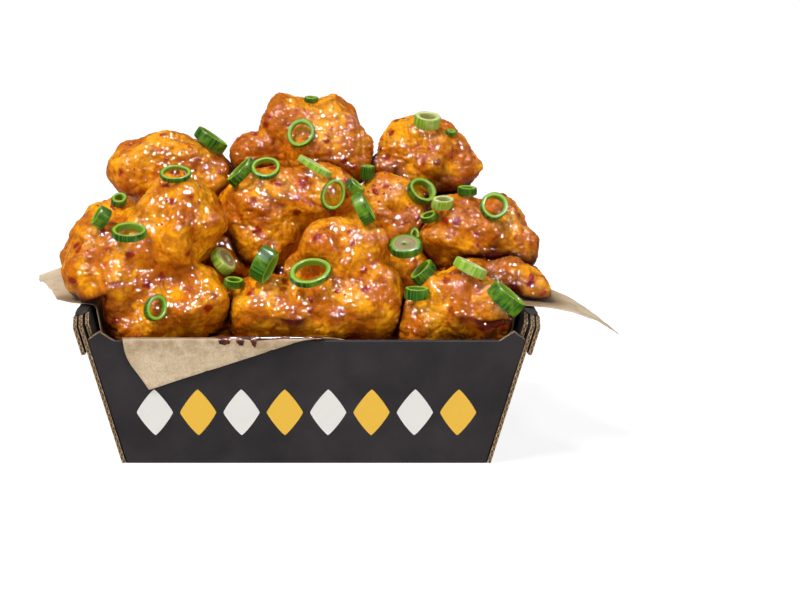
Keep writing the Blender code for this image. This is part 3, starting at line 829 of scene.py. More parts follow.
    def make_print(self) -> None:
        """A plain printed band of lozenges on both long walls, in two inks.

        A lozenge's half width at a share u of its half height is (1 - |u|^p)^(1/p) of the widest.
        """
        half_width, half_height, power, height, pitch = 7.4, 10.6, 1.14, 24.0, 18.0
        tall, wide = 33, 9
        plane = self.long_plane()
        rows = plane.matrix()
        up = np.linspace(-1, 1, tall)[:, None]
        half = half_width * (1 - np.abs(up) ** power) ** (1 / power) + 0.12
        across = half * np.linspace(-1, 1, wide)
        shape = np.stack(np.broadcast_arrays(across, half_height * up), axis=-1)
        base = grid_quads(tall, wide)[:, ::-1]
        inks = (("print_light", (0.74, 0.72, 0.68)), ("print_yellow", (0.80, 0.47, 0.045)))
        for first, (name, colour) in enumerate(inks):
            centres = np.array([(x, height) for x in np.arange(-63.0, 64.0, pitch)])[first::2]
            flat = (centres[:, None] + shape.reshape(1, -1, 2)).reshape(-1, 2)
            points = np.array(plane.corner) + flat @ rows[:2] + 0.05 * rows[2]
            quads = np.concatenate([base + tall * wide * k for k in range(len(centres))])
            both = np.concatenate([points, points * (-1, -1, 1)])
            mesh = quad_mesh(name, both, np.concatenate([quads, quads + len(points)]))
            mesh.shade_flat()
            band = set_down(name, mesh, [Print(name, colour).make()])
            band.modifiers.new("film", "SOLIDIFY").thickness = 0.06 * MM


# Food


@dataclass(frozen=True)
class Lump:
    """One wing piece: its lobes (x, y, z, radius), its draw, and the quads along a patch's side."""

    name: str
    lobes: tuple[tuple[float, float, float, float], ...]
    seed: int
    side: int


def tumbled_lobes(x: float, y: float, z: float, half_size: float, seed: int) -> tuple:
    """Lobes of a piece that lies hidden: one big one and four round it, turned at random.

    Args:
        x: Its middle, to the right.
        y: Its middle, to the back.
        z: Its middle's height.
        half_size: Half its size.
        seed: Its draw.

    Returns:
        The lobes.
    """
    draw = np.random.default_rng(seed)
    spin = draw.uniform(0, FULL_TURN)
    lobes = [(x, y, z, half_size * 0.66)]
    for i, lift in enumerate((-0.35, 0.35, -0.25, 0.3)):
        angle = spin + i * math.pi / 2
        reach = half_size * draw.uniform(0.42, 0.54)
        lobes.append((
            x + reach * math.cos(angle), y + reach * math.sin(angle), z + half_size * lift,
            half_size * draw.uniform(0.46, 0.58)))
    return tuple(lobes)


SHOWN = {
    "wing_front_left": (96, (
        (-86, -38, 82, 17.5), (-79, -40, 66, 14), (-68, -36, 88, 17), (-52.5, -34, 101, 17.5),
        (-66, -45, 60, 14), (-46, -44, 66, 15), (-84, -25, 93, 14), (-54, -53, 93, 6),
        (-68, -18, 80, 17), (-80, -47, 75, 12))),
    "wing_upper_left": (72, (
        (-73, 4, 116, 13), (-59, 6, 120, 14), (-44, 6, 113, 13), (-62, 12, 105, 15))),
    "wing_top": (80, (
        (-25, 8, 124, 9), (-10, 14, 138, 10), (11, 14, 136, 12), (4, 12, 123, 15),
        (17, 8, 122, 12), (5, 28, 120, 16))),
    "wing_middle": (80, (
        (-19, -10, 105, 16), (5, -10, 108, 14), (-19, -14, 91, 14), (10, -8, 98, 13),
        (-7, 4, 97, 16))),
    "wing_front": (92, (
        (7, -44, 91, 10), (21, -42, 88, 12), (25, -44, 67, 17), (-17, -46, 63, 15),
        (4, -48, 63, 14), (-4, -46, 83, 5), (14, -28, 69, 14))),
    "wing_upper_right": (76, (
        (46, 16, 129, 11), (58, 16, 124, 13), (67, 12, 118, 10), (32, 12, 118, 6),
        (53, 12, 112, 12), (56, 28, 117, 15))),
    "wing_centre_right": (56, ((35, -1, 103, 13), (44, -5, 97, 10), (36, -5, 90, 11))),
    "wing_right": (80, (
        (67, -16, 91, 16.5), (86, -14, 93, 11), (87, -18, 83, 12), (78, -12, 85, 14),
        (76, 4, 90, 14))),
    "wing_right_low": (64, (
        (82, -32, 72, 11), (95, -34, 69.5, 10.5), (70, -32, 75, 8), (88, -18, 70, 12))),
    "wing_front_right": (76, (
        (59, -46, 68, 13), (74, -47, 63, 14), (49, -50, 58, 11), (82, -50, 59, 11),
        (67, -30, 60, 14))),
}
IN_GAPS = {
    "wing_gap_left": (44, ((-34, -14, 79, 11), (-41, -8, 70, 11), (-28, -8, 68, 10))),
    "wing_gap_right": (44, ((42, -24, 79, 10), (49, -18, 68, 10), (40, -14, 72, 10))),
}
BURIED = {
    "wing_floor_front_left": (16, (-51, -27, 28, 31)),
    "wing_floor_front": (16, (0, -28, 27, 31)),
    "wing_floor_front_right": (16, (51, -27, 28, 31)),
    "wing_floor_back_left": (16, (-52, 27, 28, 31)),
    "wing_floor_back": (16, (-1, 28, 27, 31)),
    "wing_floor_back_right": (16, (50, 27, 28, 31)),
    "wing_core_left": (16, (-24, -3, 59, 21)),
    "wing_core_right": (16, (22, -5, 60, 23)),
    "wing_back_left": (60, (-60, 37, 67, 28)),
    "wing_back": (60, (-6, 39, 69, 25)),
    "wing_back_right": (60, (50, 38, 67, 28)),
    "wing_rear_left": (56, (-51, 18, 90, 26)),
    "wing_rear_top": (52, (-3, 31, 98, 22)),
    "wing_rear_right": (56, (52, 18, 92, 24)),
}


class Piece:
    """A wing piece as a distance field: lobes blended into each other, with low waves."""

    LOBE_BLEND = 3.2
    WAVES = 7
    WAVE_LENGTHS = (11.0, 24.0)
    WAVE_HEIGHT = 0.5

    def __init__(self, lump: Lump) -> None:
        """Draws the piece's waves."""
        self.lump = lump
        self.lobes = np.array(lump.lobes, dtype=float)
        draw = np.random.default_rng(lump.seed)
        turns = draw.normal(size=(self.WAVES, 3))
        turns /= np.linalg.norm(turns, axis=1, keepdims=True)
        lengths = draw.uniform(*self.WAVE_LENGTHS, size=(self.WAVES, 1))
        self.waves = turns * 2 * math.pi / lengths
        self.phases = draw.uniform(0, FULL_TURN, self.WAVES)
        self.centre = np.average(self.lobes[:, :3], axis=0, weights=self.lobes[:, 3] ** 3)

    def parts(self, points: Array) -> tuple[Array, Array]:
        """The field and how deep in a valley between lobes each point lies.

        The distance to the nearest lobe, less the logarithm of how many lobes come as near, plus
        a sum of sine waves.

        Args:
            points: Places in millimetres, shape (n, 3).

        Returns:
            Signed distance from the surface, below zero inside, and the valley's depth from 0.
        """
        away = np.linalg.norm(points[:, None, :] - self.lobes[:, :3], axis=-1) - self.lobes[:, 3]
        least = away.min(axis=1)
        blend = np.log(np.exp(-(away - least[:, None]) / self.LOBE_BLEND).sum(axis=1))
        relief = np.sin(points @ self.waves.T + self.phases).sum(axis=1) * self.WAVE_HEIGHT
        return least - self.LOBE_BLEND * blend + relief, blend

    def field(self, points: Array) -> Array:
        """Signed distance from the surface, below zero inside."""
        return self.parts(points)[0]


@dataclass(frozen=True)
class Relief:
    """One size of knobs on the crust."""

    size: float
    height: float
    seed: int


@dataclass
class WingHeap:
    """The heap of wing pieces in the lined tray, and the flakes on it. Lengths in millimetres."""

    liner: "Liner"
    gap: float = 0.5
    lining_clearance: float = 0.7
    rim_round: float = 4.6
    trace_steps: int = 34
    near: float = 8.0
    free_reach: float = 2.6
    warp: float = 1.5
    sunk: float = 0.62
    ring_quiet: float = 0.75
    ring_reach: float = 5.0
    seat_height: float = 1.2
    seat_reach: float = 9.0
    reliefs: tuple[Relief, ...] = (
        Relief(9.5, 1.9, 11), Relief(4.6, 1.2, 12), Relief(2.4, 0.85, 13), Relief(1.3, 0.50, 14))
    pieces: list[Piece] = field(default_factory=list)
    surfaces: dict[str, tuple[Array, Array, Array]] = field(default_factory=dict)

    def __post_init__(self) -> None:
        """Draws every piece, in the source's order."""
        for first, group in ((40, SHOWN), (70, IN_GAPS), (90, BURIED)):
            for i, (name, (side, lobes)) in enumerate(group.items()):
                if group is BURIED:
                    lobes = tumbled_lobes(*lobes, 300 + i)
                self.pieces.append(Piece(Lump(name, lobes, first + i, side)))

    def neighbours(self, piece: Piece) -> list[Piece]:
        """The pieces whose lobes come close to this one's."""
        found = []
        for other in self.pieces:
            own, its = piece.lobes[:, None], other.lobes[None]
            apart = np.linalg.norm(own[..., :3] - its[..., :3], axis=-1) - own[..., 3] - its[..., 3]
            if other is not piece and apart.min() < self.near:
                found.append(other)
        return found

    def room(self, points: Array) -> Array:
        """How far points lie inside the lined tray or above its rim; below zero in the walls."""
        x, y, z = np.abs(points[:, 0]), np.abs(points[:, 1]), points[:, 2]
        liner = self.liner
        room = z - liner.fold_end[1]
        for across, fold, rim, over in (
                (x, liner.fold_end, liner.rim_end, liner.over_end),
                (y, liner.fold_side, liner.rim_side, liner.over_side)):
            run, rise = rim[0] - fold[0], rim[1] - fold[1]
            inside = ((fold[0] - across) * rise + (z - fold[1]) * run) / math.hypot(run, rise)
            above = z - over[1]
            rounding = self.rim_round * np.exp(-np.abs(inside - above) / self.rim_round)
            room = np.minimum(room, np.maximum(inside, above) - rounding)
        return room - self.lining_clearance

    def cut(self, piece: Piece, others: list[Piece], points: Array) -> Array:
        """A piece's field, cut half way to its neighbours and at the lining."""
        own = piece.field(points)
        cut = np.maximum(own, -self.room(points))
        for other in others:
            cut = np.maximum(cut, (own - other.field(points) + self.gap) / 2)
        return cut

    def reach(self, piece: Piece, others: list[Piece], directions: Array) -> Array:
        """How far the surface lies along each direction: steps of the field's own length from the
        piece's middle outwards, until the field is zero."""
        far = np.full(len(directions), 1.0)
        for _ in range(self.trace_steps):
            far -= self.cut(piece, others, piece.centre + directions * far[:, None]) * 0.85
        return far

    def surface(self, piece: Piece, slices: Array) -> None:
        """Works out one piece's corners, and keeps its knobs and a mask of painted shade and pooled
        glaze for the finish.

        The smooth surface is moved along its normals by knobs of four sizes on warped ground.
        The relief fades where the piece touches others, the paper or a ring of onion, and the
        glaze rises a little to each ring.

        Args:
            piece: The piece.
            slices: Middles of the rings of onion, shape (n, 3).
        """
        directions, quads = cube_ball(piece.lump.side)
        others = self.neighbours(piece)
        points = piece.centre + directions * self.reach(piece, others, directions)[:, None]
        points = smoothed(points, quads, 1)
        normals = corner_normals(points, quads)
        _, valley = piece.parts(points)
        apart = np.minimum.reduce(
            [other.field(points) for other in others] + [self.room(points) * 1.2])
        free = np.clip(apart / self.free_reach, 0, 1)
        free = free * free * (3 - 2 * free)
        under = np.min(np.linalg.norm(points[:, None] - slices[None], axis=2), axis=1)
        quiet = 1 - self.ring_quiet * np.exp(-(under / self.ring_reach) ** 2)
        seat = self.seat_height * np.exp(-(under / self.seat_reach) ** 2)
        bends = np.stack([soft_noise(points, 6.0, 5 + k) for k in range(3)], axis=1)
        ground = points + self.warp * bends
        heights = np.stack([
            knobs(ground, relief.size, relief.seed + piece.lump.seed) for relief in self.reliefs])
        weights = np.array([relief.height for relief in self.reliefs])
        rough = 0.75 + 0.45 * soft_noise(points, 14.0, 9)
        lift = (weights[:, None] * (heights - self.sunk)).sum(axis=0) * rough
        points = points + normals * ((lift * quiet + seat) * free)[:, None]
        knob = np.clip((weights[:3, None] * heights[:3]).sum(axis=0) / weights[:3].sum(), 0, 1)
        # Painted shade, partly pooled glaze: strongest close to other pieces and the paper, in valleys
        # between lobes and on faces turned down.
        shade_and_glaze_pool = np.clip(
            0.75 * np.exp(-np.maximum(apart, 0) / 2.0) + 0.45 * np.exp(-np.maximum(apart, 0) / 9.0)
            + np.clip(valley - 0.5, 0, 1) * 0.5 + 0.35 * np.clip(-normals[:, 2] - 0.1, 0, 1),
            0, 1)
        # Pieces in the gaps get less of the painted shade.
        if piece.lump.name in IN_GAPS:
            shade_and_glaze_pool *= 0.45
        self.surfaces[piece.lump.name] = (points, quads, normals)
        mesh = quad_mesh(piece.lump.name, points, quads)
        set_attribute(mesh, "knob", knob)
        set_attribute(mesh, "shade_and_glaze_pool", shade_and_glaze_pool)
        set_down(f"crust_{piece.lump.name}", mesh, [self.finish], (piece.lump.name,))

    def make(self, slices: Array) -> None:
        """Builds every piece, then the flakes that lie on them."""
        self.finish = GlazedCrust().make()
        for piece in self.pieces:
            self.surface(piece, slices)
        self.make_flakes()

    def make_flakes(self, count: int = 260) -> None:
        """Chilli flakes on the pieces that show: small flat chips, each a flattened ball with its
        radius drawn per direction, laid on the crust above the rim and turned at random.

        Args:
            count: How many.
        """
        lowest, big_share = 58, 0.22
        draw = np.random.default_rng(21)
        ball, quads = cube_ball(2)
        spots, outward = [], []
        for name in SHOWN:
            points, _, normals = self.surfaces[name]
            shown = (normals[:, 2] > -0.1) & (points[:, 2] > lowest)
            pick = draw.choice(np.nonzero(shown)[0], count // len(SHOWN), replace=False)
            spots.append(points[pick])
            outward.append(normals[pick])
        spots, outward = np.concatenate(spots), np.concatenate(outward)
        side = np.cross(outward, draw.normal(size=outward.shape))
        side /= np.linalg.norm(side, axis=1, keepdims=True)
        turns = np.stack([side, np.cross(outward, side), outward], axis=1)
        big = draw.uniform(0, 1, len(spots)) < big_share
        half = np.stack([
            np.where(big, draw.uniform(1.2, 2.1, len(spots)), draw.uniform(0.4, 1.1, len(spots))),
            np.where(big, draw.uniform(0.7, 1.3, len(spots)), draw.uniform(0.3, 0.7, len(spots))),
            draw.uniform(0.16, 0.30, len(spots))], axis=1)
        shape = ball[None] * half[:, None, :] * draw.uniform(0.75, 1.15, (len(spots), len(ball), 1))
        shape[:, :, 2] += shape[:, :, 0] ** 2 * draw.uniform(-0.25, 0.1, (len(spots), 1)) + 0.15
        corners = spots[:, None, :] + np.einsum("nij,njk->nik", shape, turns)
        faces = (quads[None] + (np.arange(len(spots)) * len(ball))[:, None, None]).reshape(-1, 4)
        mesh = quad_mesh("chilli_flakes", corners.reshape(-1, 3), faces)
        set_down("chilli_flakes", mesh, [Chilli().make()])


# Paper


@dataclass
class Liner:
    """The sheet of brown paper that lines the tray, and the glaze that has run onto it.

    Folds are points (out, up) and edges pairs of points (x, y) of the flat sheet, in millimetres.
    """

    thickness: float = 0.35
    fold_end: tuple[float, float] = (74.0, 2.2)
    rim_end: tuple[float, float] = (87.6, 67.6)
    over_end: tuple[float, float] = (98.4, 66.6)
    fold_side: tuple[float, float] = (53.2, 2.2)
    rim_side: tuple[float, float] = (67.0, 56.2)
    over_side: tuple[float, float] = (71.4, 56.5)
    hem_side: tuple[float, float] = (64.6, 28.6)
    hem_edge: tuple = ((-65, -137), (-82, -108.9))
    corner_edge: tuple = ((-82, -108.9), (-159, -38))
    edges: tuple = (
        ((-159, -38), (-182, 58)), ((-182, 58), (60, 158)), ((60, 158), (187, -46)),
        ((187, -46), (-65, -137)))
    step: float = 2.4
    probe: float = 0.5
    touch_reach: float = 7.0
    hang_reach: float = 11.0
    rounding: float = 2.2

    def paths(self) -> tuple[list, list, list]:
        """The sheet's way up an end wall to its flap, left and right, and up a long wall."""
        out, up = self.over_end
        end = [self.fold_end, self.rim_end, self.over_end]
        left = end + [(out + 15, up - 0.6), (out + 32, up - 6.5)]
        right = end + [(out + 13, up - 2.6), (out + 25, up - 7.4), (out + 36, up - 15.0)]
        return left, right, [self.fold_side, self.rim_side, self.over_side, self.hem_side]

    def marks(self, path: list) -> Array:
        """The flat distance of each fold of a path from the sheet's middle."""
        return path[0][0] + run_lengths(np.array(path))

    def along(self, distance: Array, path: list) -> tuple[Array, Array]:
        """Where points of the flat sheet come to along one direction.

        The path's straight runs are joined by rounds: each coordinate is the mean of the bent
        line over a short stretch about the point.

        Args:
            distance: Distances from the sheet's middle.
            path: Points (out, up) of the folds from the floor outwards.

        Returns:
            Distances out and heights.
        """
        bends = np.array([(0.0, path[0][1])] + path)
        marks = run_lengths(bends)
        last = (bends[-1] - bends[-2]) / (marks[-1] - marks[-2])
        marks = np.append(marks, marks[-1] + 100.0)
        bends = np.vstack([bends, bends[-1] + last * 100.0])
        spread = np.linspace(-self.rounding, self.rounding, 9)
        at = distance[..., None] + spread
        out, up = (np.interp(np.abs(at), marks, bends[:, k]) for k in (0, 1))
        return (np.sign(at) * out).mean(axis=-1), up.mean(axis=-1)

    def laid(self, flat: Array) -> Array:
        """Where points of the flat sheet lie in the tray, without its crumples.

        Args:
            flat: Points of the flat sheet, shape (n, 2).

        Returns:
            Places, shape (n, 3).
        """
        left, right, side = self.paths()
        x, y = flat[:, 0], flat[:, 1]
        out_left, up_left = self.along(np.abs(x), left)
        out_right, up_right = self.along(np.abs(x), right)
        out_x = np.where(x < 0, out_left, out_right)
        up_x = np.where(x < 0, up_left, up_right)
        out_y, up_y = self.along(np.abs(y), side)
        beyond = np.maximum(np.abs(x) - self.marks(left)[2], 0)
        over_side = np.abs(y) > self.marks(side)[2]
        up = np.where(beyond > 0, up_x, np.where(over_side, up_y, np.maximum(up_x, up_y)))
        up = up + 0.035 * beyond * np.sin(y / 17.0 + np.where(x > 0, 0.6, 2.2))
        return np.stack([np.copysign(out_x, x), np.copysign(out_y, y), up], axis=1)

    def sheet(self) -> tuple[Array, list[list[int]]]:
        """The flat sheet: a grid of squares, cut along its outline. The front left corner is cut off
        along two lines, the hem's edge and the corner's edge, each up to where they meet.

        Returns:
            Its corners, shape (n, 2), and its faces.
        """
        work = bmesh.new()
        spans = ((-180.0, 190.0), (-140.0, 160.0))
        counts = [int((high - low) / self.step) for low, high in spans]
        bmesh.ops.create_grid(work, x_segments=counts[0], y_segments=counts[1], size=1.0)
        for vert in work.verts:
            vert.co = [
                low + (at + 1) / 2 * (high - low) for at, (low, high) in zip(vert.co, spans)] + [0.0]

        def trim(edge: tuple, faces: list) -> None:
            """Cuts these faces along an edge and drops what is outside."""
            (x0, y0), (x1, y1) = edge
            geometry = dict.fromkeys(faces)
            for face in faces:
                geometry.update(dict.fromkeys([*face.verts, *face.edges]))
            bmesh.ops.bisect_plane(
                work, geom=list(geometry), plane_co=(x0, y0, 0.0),
                plane_no=Vector((y0 - y1, x1 - x0, 0.0)).normalized(), clear_outer=True)

        for edge in self.edges:
            trim(edge, work.faces[:])
        line = self.hem_edge[1][1]
        trim(self.hem_edge, [face for face in work.faces if face.calc_center_median().y < line])
        trim(self.corner_edge, [face for face in work.faces if face.calc_center_median().y > line])
        bmesh.ops.remove_doubles(work, verts=work.verts, dist=0.3)
        work.verts.index_update()
        corners = np.array([vert.co[:2] for vert in work.verts])
        faces = [[vert.index for vert in face.verts] for face in work.faces]
        work.free()
        return corners, faces

    def make(self, heap: WingHeap) -> None:
        """Builds the laid sheet and the glaze on it.

        Crumples are ridged noise, 1 - |n|, along the sheet's normal; they are low in the tray and
        higher on the free flaps.

        Args:
            heap: The food, whose nearness greases the paper.
        """
        flat, faces = self.sheet()
        laid = self.laid(flat)
        probe = self.probe
        along_x = self.laid(flat + (probe, 0)) - self.laid(flat - (probe, 0))
        along_y = self.laid(flat + (0, probe)) - self.laid(flat - (0, probe))
        normals = np.cross(along_x, along_y)
        normals /= np.maximum(np.linalg.norm(normals, axis=1, keepdims=True), 1e-9)
        wide = np.column_stack([flat, np.zeros(len(flat))])
        ridges = 1 - np.abs(soft_noise(wide, 23.0, 31)) * 2
        small = 1 - np.abs(soft_noise(wide, 9.0, 32)) * 2
        left, _, side = self.paths()
        free = np.clip((np.abs(flat[:, 0]) - self.marks(left)[2]) / 12.0, 0, 1)
        hem = np.clip((np.abs(flat[:, 1]) - self.marks(side)[2] - 3) / 12.0, 0, 1)
        on_flaps = (0.9 * ridges + 0.35 * small) * free
        on_hem = (0.45 * ridges + 0.2 * small + 0.3) * hem * (1 - free)
        laid = laid + normals * (on_flaps - on_hem)[:, None]
        mesh = bpy.data.meshes.new("paper")
        mesh.from_pydata((laid * MM).tolist(), [], faces)
        mesh.shade_smooth()
        showing = heap.pieces[:len(SHOWN) + len(IN_GAPS)]
        nearest = np.minimum.reduce([piece.field(laid) for piece in showing])
        hang = np.maximum(np.abs(flat[:, 1]) - self.marks(side)[1], 0)
        hung = np.where((hang > 0) & (free == 0), 0.80 * np.exp(-hang / self.hang_reach), 0.0)
        touched = np.exp(-np.maximum(nearest, 0) / self.touch_reach)
        set_attribute(mesh, "grease", np.maximum(touched, hung))
        paper = set_down("liner_sheet", mesh, [BrownPaper().make()], ("paper",))
        wall = paper.modifiers.new("sheet_thickness", "SOLIDIFY")
        wall.thickness = self.thickness * MM
        wall.offset = 0.0
        self.make_pools()

    def make_pools(self) -> None:
        """Glaze run over the front rim: closed lenses on the sheet, (1 - r^2)^0.5 high over ovals
        whose edge waves a little."""
        rim = self.marks(self.paths()[2])[1:3].mean()
        ovals = (
            (-31.0, 0.4, 8.0, 2.2, 0.7), (-18.0, -0.3, 11.0, 2.3, 0.8), (-4.0, 0.4, 8.0, 1.9, 0.6),
            (-33.5, -2.0, 2.4, 3.4, 0.6), (-27.0, -2.4, 1.6, 3.2, 0.6), (-21.5, -2.2, 1.3, 3.8, 0.6),
            (4.5, -0.6, 2.6, 2.0, 0.6))
        ball, quads = cube_ball(10)
        probe = self.probe
        t = np.arctan2(ball[:, 1], ball[:, 0])
        corners = []
        for number, (x, down, half_x, half_y, high) in enumerate(ovals):
            edge = 1 + 0.10 * np.sin(3 * t + number) + 0.06 * np.sin(7 * t + 2 * number)
            flat = (x, down - rim) + ball[:, :2] * edge[:, None] * (half_x, half_y)
            laid = self.laid(flat)
            normal = np.cross(
                self.laid(flat + (probe, 0)) - laid, self.laid(flat + (0, probe)) - laid)
            normal /= np.linalg.norm(normal, axis=1, keepdims=True)
            lift = np.where(ball[:, 2] > 0, high, 0.2) * ball[:, 2] + 0.1
            corners.append(laid + normal * lift[:, None])
        quads = np.concatenate([quads + len(ball) * number for number in range(len(ovals))])
        mesh = quad_mesh("glaze_pools", np.concatenate(corners), quads)
        set_down("glaze_pools", mesh, [Glaze().make()])


# Spring onion


@dataclass(frozen=True)
class Slice:
    """A slice of spring onion: which way its axis points and its roll about it, in degrees, its
    size in millimetres, and how far it is squashed to an oval."""

    azimuth: float
    elevation: float
    roll: float
    width: float
    squash: float
    length: float
    wall: float = 1.8
    pale: bool = False


SLICES = (
    Slice(80, 55, 90, 15.5, 0.60, 5.0, 1.8),
    Slice(0, 55, 0, 13.0, 0.75, 2.2, 1.5),
    Slice(-75, 45, 90, 14.5, 0.60, 4.2, 1.8),
    Slice(5, 50, 18, 13.0, 0.90, 2.4, 1.7),
    Slice(-6, 18, 50, 13.6, 0.86, 3.0, 2.0),
    Slice(20, 70, 0, 6.5, 0.70, 2.0, 1.8),
    Slice(80, 60, 90, 16.0, 0.50, 2.6, 1.8, True),
    Slice(18, 12, 64, 14.4, 0.70, 2.6, 1.7),
    Slice(60, 50, 90, 8.6, 0.60, 4.2, 1.8),
    Slice(80, 28, 90, 14.0, 0.60, 5.0, 1.8),
    Slice(15, 76, 0, 6.2, 0.80, 6.0, 1.8),
    Slice(12, 62, -16, 11.6, 0.72, 5.4, 2.4, True),
    Slice(40, 60, 0, 5.6, 0.70, 1.8, 1.8),
    Slice(26, 34, -24, 13.4, 0.86, 4.2, 2.0),
    Slice(20, 66, 8, 10.5, 0.60, 4.2, 2.0, True),
    Slice(-10, 76, -10, 8.6, 0.60, 3.4, 1.8),
    Slice(8, 26, 40, 12.8, 0.90, 3.8, 1.9),
    Slice(-35, 50, 25, 8.0, 0.60, 3.4, 1.8),
    Slice(30, 30, 60, 7.4, 0.62, 3.4, 1.8),
    Slice(-10, 50, 4, 14.4, 0.80, 4.4, 6.4),
    Slice(-65, 48, 90, 12.0, 0.60, 4.8, 1.8),
    Slice(80, 64, 90, 14.5, 0.50, 4.2, 2.0, True),
    Slice(4, 80, -4, 10.4, 0.62, 4.6, 1.8),
    Slice(75, 50, 90, 16.0, 0.62, 6.4, 2.1),
    Slice(63, 38, 90, 13.0, 0.80, 5.0, 5.2, True),
    Slice(20, 62, -10, 8.4, 0.60, 3.6, 1.8),
    Slice(65, -25, 90, 15.5, 0.60, 7.0, 2.4),
    Slice(-8, 50, 18, 18.4, 0.74, 3.2, 2.4),
    Slice(4, 66, -4, 14.4, 0.80, 3.4, 1.8),
    Slice(-70, 30, 80, 9.6, 0.72, 5.0, 1.8),
    Slice(20, 52, 30, 7.6, 0.76, 3.4, 1.7),
    Slice(32, 14, 52, 11.4, 0.84, 3.4, 1.8),
)


@dataclass
class OnionSlices:
    """The rings of spring onion, each in its CAD node's place."""

    around: int = 96
    section: int = 28
    layer: float = 1.35
    wall_share: float = 1.12
    least_radius: float = 0.05

    def middles(self) -> Array:
        """Where each ring's middle is: half way between its node's corners."""
        return np.array([
            (np.array(low) + np.array(high)) / 2 / MM
            for low, high in (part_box(self.node(number)) for number in range(1, len(SLICES) + 1))])

    @staticmethod
    def node(number: int) -> str:
        """The name of a ring's CAD node."""
        return f"onion_{number:02d}"

    @staticmethod
    def turn(cut: Slice) -> Array:
        """A ring's own directions in the frame, as rows: level, across and along its axis."""
        azimuth, elevation, roll = (math.radians(v) for v in (cut.azimuth, cut.elevation, cut.roll))
        flat = math.cos(elevation)
        axis = Vector((math.sin(azimuth) * flat, -math.cos(azimuth) * flat, math.sin(elevation)))
        level = Matrix.Rotation(roll, 3, axis) @ Vector((0, 0, 1)).cross(axis).normalized()
        return np.array([level, axis.cross(level), axis])

    def ring(self, cut: Slice, middle: Array, number: int) -> tuple[Array, dict[str, Array]]:
        """One ring: a rounded oblong section carried round a squashed circle.

        The section is a superellipse, (wall/2 |cos s|^0.45, length/2 |sin s|^0.4). Its middle line
        has a radius that waves a little, and its outer side has fine ribs along the axis.

        Args:
            cut: The ring's size.
            middle: Its middle.
            number: Its number, which draws its waves.

        Returns:
            Corners on a closed grid, and the numbers that the finish reads.
        """
        draw = np.random.default_rng(500 + number)
        t = np.linspace(0, FULL_TURN, self.around, endpoint=False)[:, None]
        s = np.linspace(0, FULL_TURN, self.section, endpoint=False)[None, :]
        out = np.sign(np.cos(s)) * np.abs(np.cos(s)) ** 0.45
        along = np.sign(np.sin(s)) * np.abs(np.sin(s)) ** 0.40
        wave = 1 + 0.025 * np.sin(2 * t + draw.uniform(0, 6))
        wave = wave + 0.018 * np.sin(3 * t + draw.uniform(0, 6))
        thick = min(cut.wall * self.wall_share, 0.495 * cut.width)
        wall = thick * (0.92 + 0.10 * np.sin(t + draw.uniform(0, 6)))
        ribs = 0.06 * np.sin(t * draw.integers(30, 42)) * np.clip(out, 0, 1)
        radius = (cut.width / 2 - thick / 2) * wave + out * wall / 2 + ribs
        radius = np.maximum(radius, self.least_radius)
        slope = cut.length / 2 * (1 + 0.05 * np.sin(t + draw.uniform(0, 6)))
        local = np.stack([
            radius * np.cos(t), radius * np.sin(t) * cut.squash, along * slope], axis=-1)
        depth = np.broadcast_to((1 - out) / 2, radius.shape)
        ends = np.broadcast_to(np.clip(np.abs(along) * 6 - 5.2, 0, 1), radius.shape)
        turned = np.broadcast_to(t / FULL_TURN, radius.shape)
        kept = {
            "depth": depth.ravel(), "cut": ends.ravel(), "turn": turned.ravel(),
            "layer": (depth * cut.wall / self.layer).ravel()}
        return middle + local.reshape(-1, 3) @ self.turn(cut), kept

    def make(self) -> None:
        """Builds every ring."""
        # The inside colours are darker than the flesh: painted shade where they line the hollow of
        # each tube.
        green = Onion(
            "onion_green", skin=(0.050, 0.175, 0.004), streak=(0.010, 0.050, 0.002),
            flesh=(0.25, 0.44, 0.014), inside=(0.16, 0.29, 0.012)).make()
        pale = Onion(
            "onion_pale", skin=(0.36, 0.52, 0.05), streak=(0.17, 0.36, 0.015),
            flesh=(0.60, 0.62, 0.26), inside=(0.50, 0.55, 0.20)).make()
        quads = grid_quads(self.around, self.section, close_rows=True, close_columns=True)
        for number, (cut, middle) in enumerate(zip(SLICES, self.middles()), start=1):
            points, kept = self.ring(cut, middle, number)
            mesh = quad_mesh(f"ring_{number:02d}", points, quads)
            for name, values in kept.items():
                set_attribute(mesh, name, values)
            set_down(
                f"onion_ring_{number:02d}", mesh, [pale if cut.pale else green],
                (self.node(number),))


# Studio


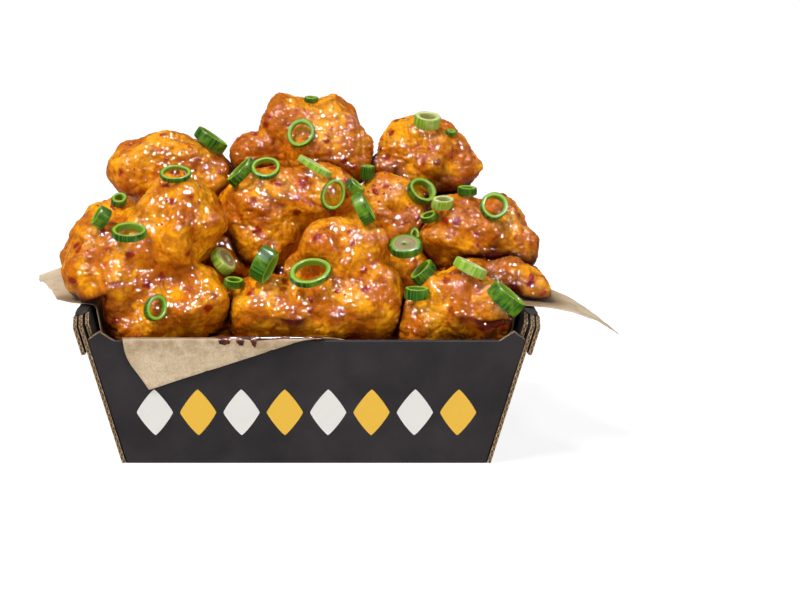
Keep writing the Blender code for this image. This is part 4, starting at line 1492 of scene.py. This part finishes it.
@dataclass
class Studio:
    """The pale floor, the soft lights and the camera at the photograph's angle, in metres."""

    place: Triple = (-0.0027, -0.795, 0.200)
    tilt: float = math.radians(80.0)
    lens: float = 81.54
    shift: float = 0.125

    def make(self) -> None:
        """Sets the studio up."""
        scene = bpy.context.scene
        scene.view_settings.view_transform = "Standard"
        scene.view_settings.look = "None"
        camera = bpy.data.objects.new("camera", bpy.data.cameras.new("camera"))
        camera.location, camera.rotation_euler = self.place, (self.tilt, 0.0, 0.0)
        camera.data.sensor_width = 36.0
        camera.data.lens = self.lens
        camera.data.shift_x = self.shift
        camera.data.clip_end = 200.0
        scene.collection.objects.link(camera)
        scene.camera = camera
        self.make_floor()
        self.sun("key", (36.0, 0.0, -38.0), 2.7, 16.0)
        self.sun("fill", (60.0, 0.0, 40.0), 0.40, 8.0)
        self.sun("top", (-14.0, 0.0, 20.0), 0.6, 12.0)
        self.sun("front", (66.0, 0.0, -10.0), 0.30, 7.0)
        self.sun("glint_left", (50.0, 0.0, -42.0), 4.6, 9.0, True)
        self.sun("glint_top", (18.0, 0.0, 8.0), 4.6, 9.0, True)
        self.sun("glint_right", (56.0, 0.0, 44.0), 3.8, 9.0, True)
        world = bpy.data.worlds.new("studio")
        world.use_nodes = True
        world.node_tree.nodes["Background"].inputs["Color"].default_value = (1.0, 0.99, 0.98, 1.0)
        world.node_tree.nodes["Background"].inputs["Strength"].default_value = 0.12
        scene.world = world

    def make_floor(self) -> None:
        """A pale floor out to where the camera sees no further."""
        reach, height = 60000.0, -0.1
        corners = np.array([
            (x * reach, y * reach, height) for x, y in ((-1, -1), (1, -1), (1, 1), (-1, 1))])
        floor = bpy.data.objects.new("floor", quad_mesh("floor", corners, np.array([[0, 1, 2, 3]])))
        bench = Bench("floor")
        floor.data.materials.append(bench.finish(
            {}, Base_Color=(0.20, 0.20, 0.20, 1.0), Roughness=0.8, Specular_IOR_Level=0.0,
            Emission_Color=(1.0, 1.0, 1.0, 1.0), Emission_Strength=0.88))
        floor.visible_glossy = False
        bpy.context.scene.collection.objects.link(floor)

    def sun(
            self, name: str, turn: Triple, strength: float, angle: float,
            glint: bool = False) -> None:
        """A far light: a narrow one shows in the gloss alone, and a wide one everywhere else."""
        light = bpy.data.lights.new(name, "SUN")
        light.energy, light.angle = strength, math.radians(angle)
        made = bpy.data.objects.new(name, light)
        made.rotation_euler = [math.radians(v) for v in turn]
        made.visible_diffuse, made.visible_glossy = not glint, glint
        bpy.context.scene.collection.objects.link(made)


def main() -> None:
    """Builds the studio and every piece of the serving."""
    logging.basicConfig(level=logging.INFO, format="%(message)s")
    Studio().make()
    Tray().make()
    onions = OnionSlices()
    liner = Liner()
    heap = WingHeap(liner)
    heap.make(onions.middles())
    liner.make(heap)
    onions.make()


if __name__ == "__main__":
    main()
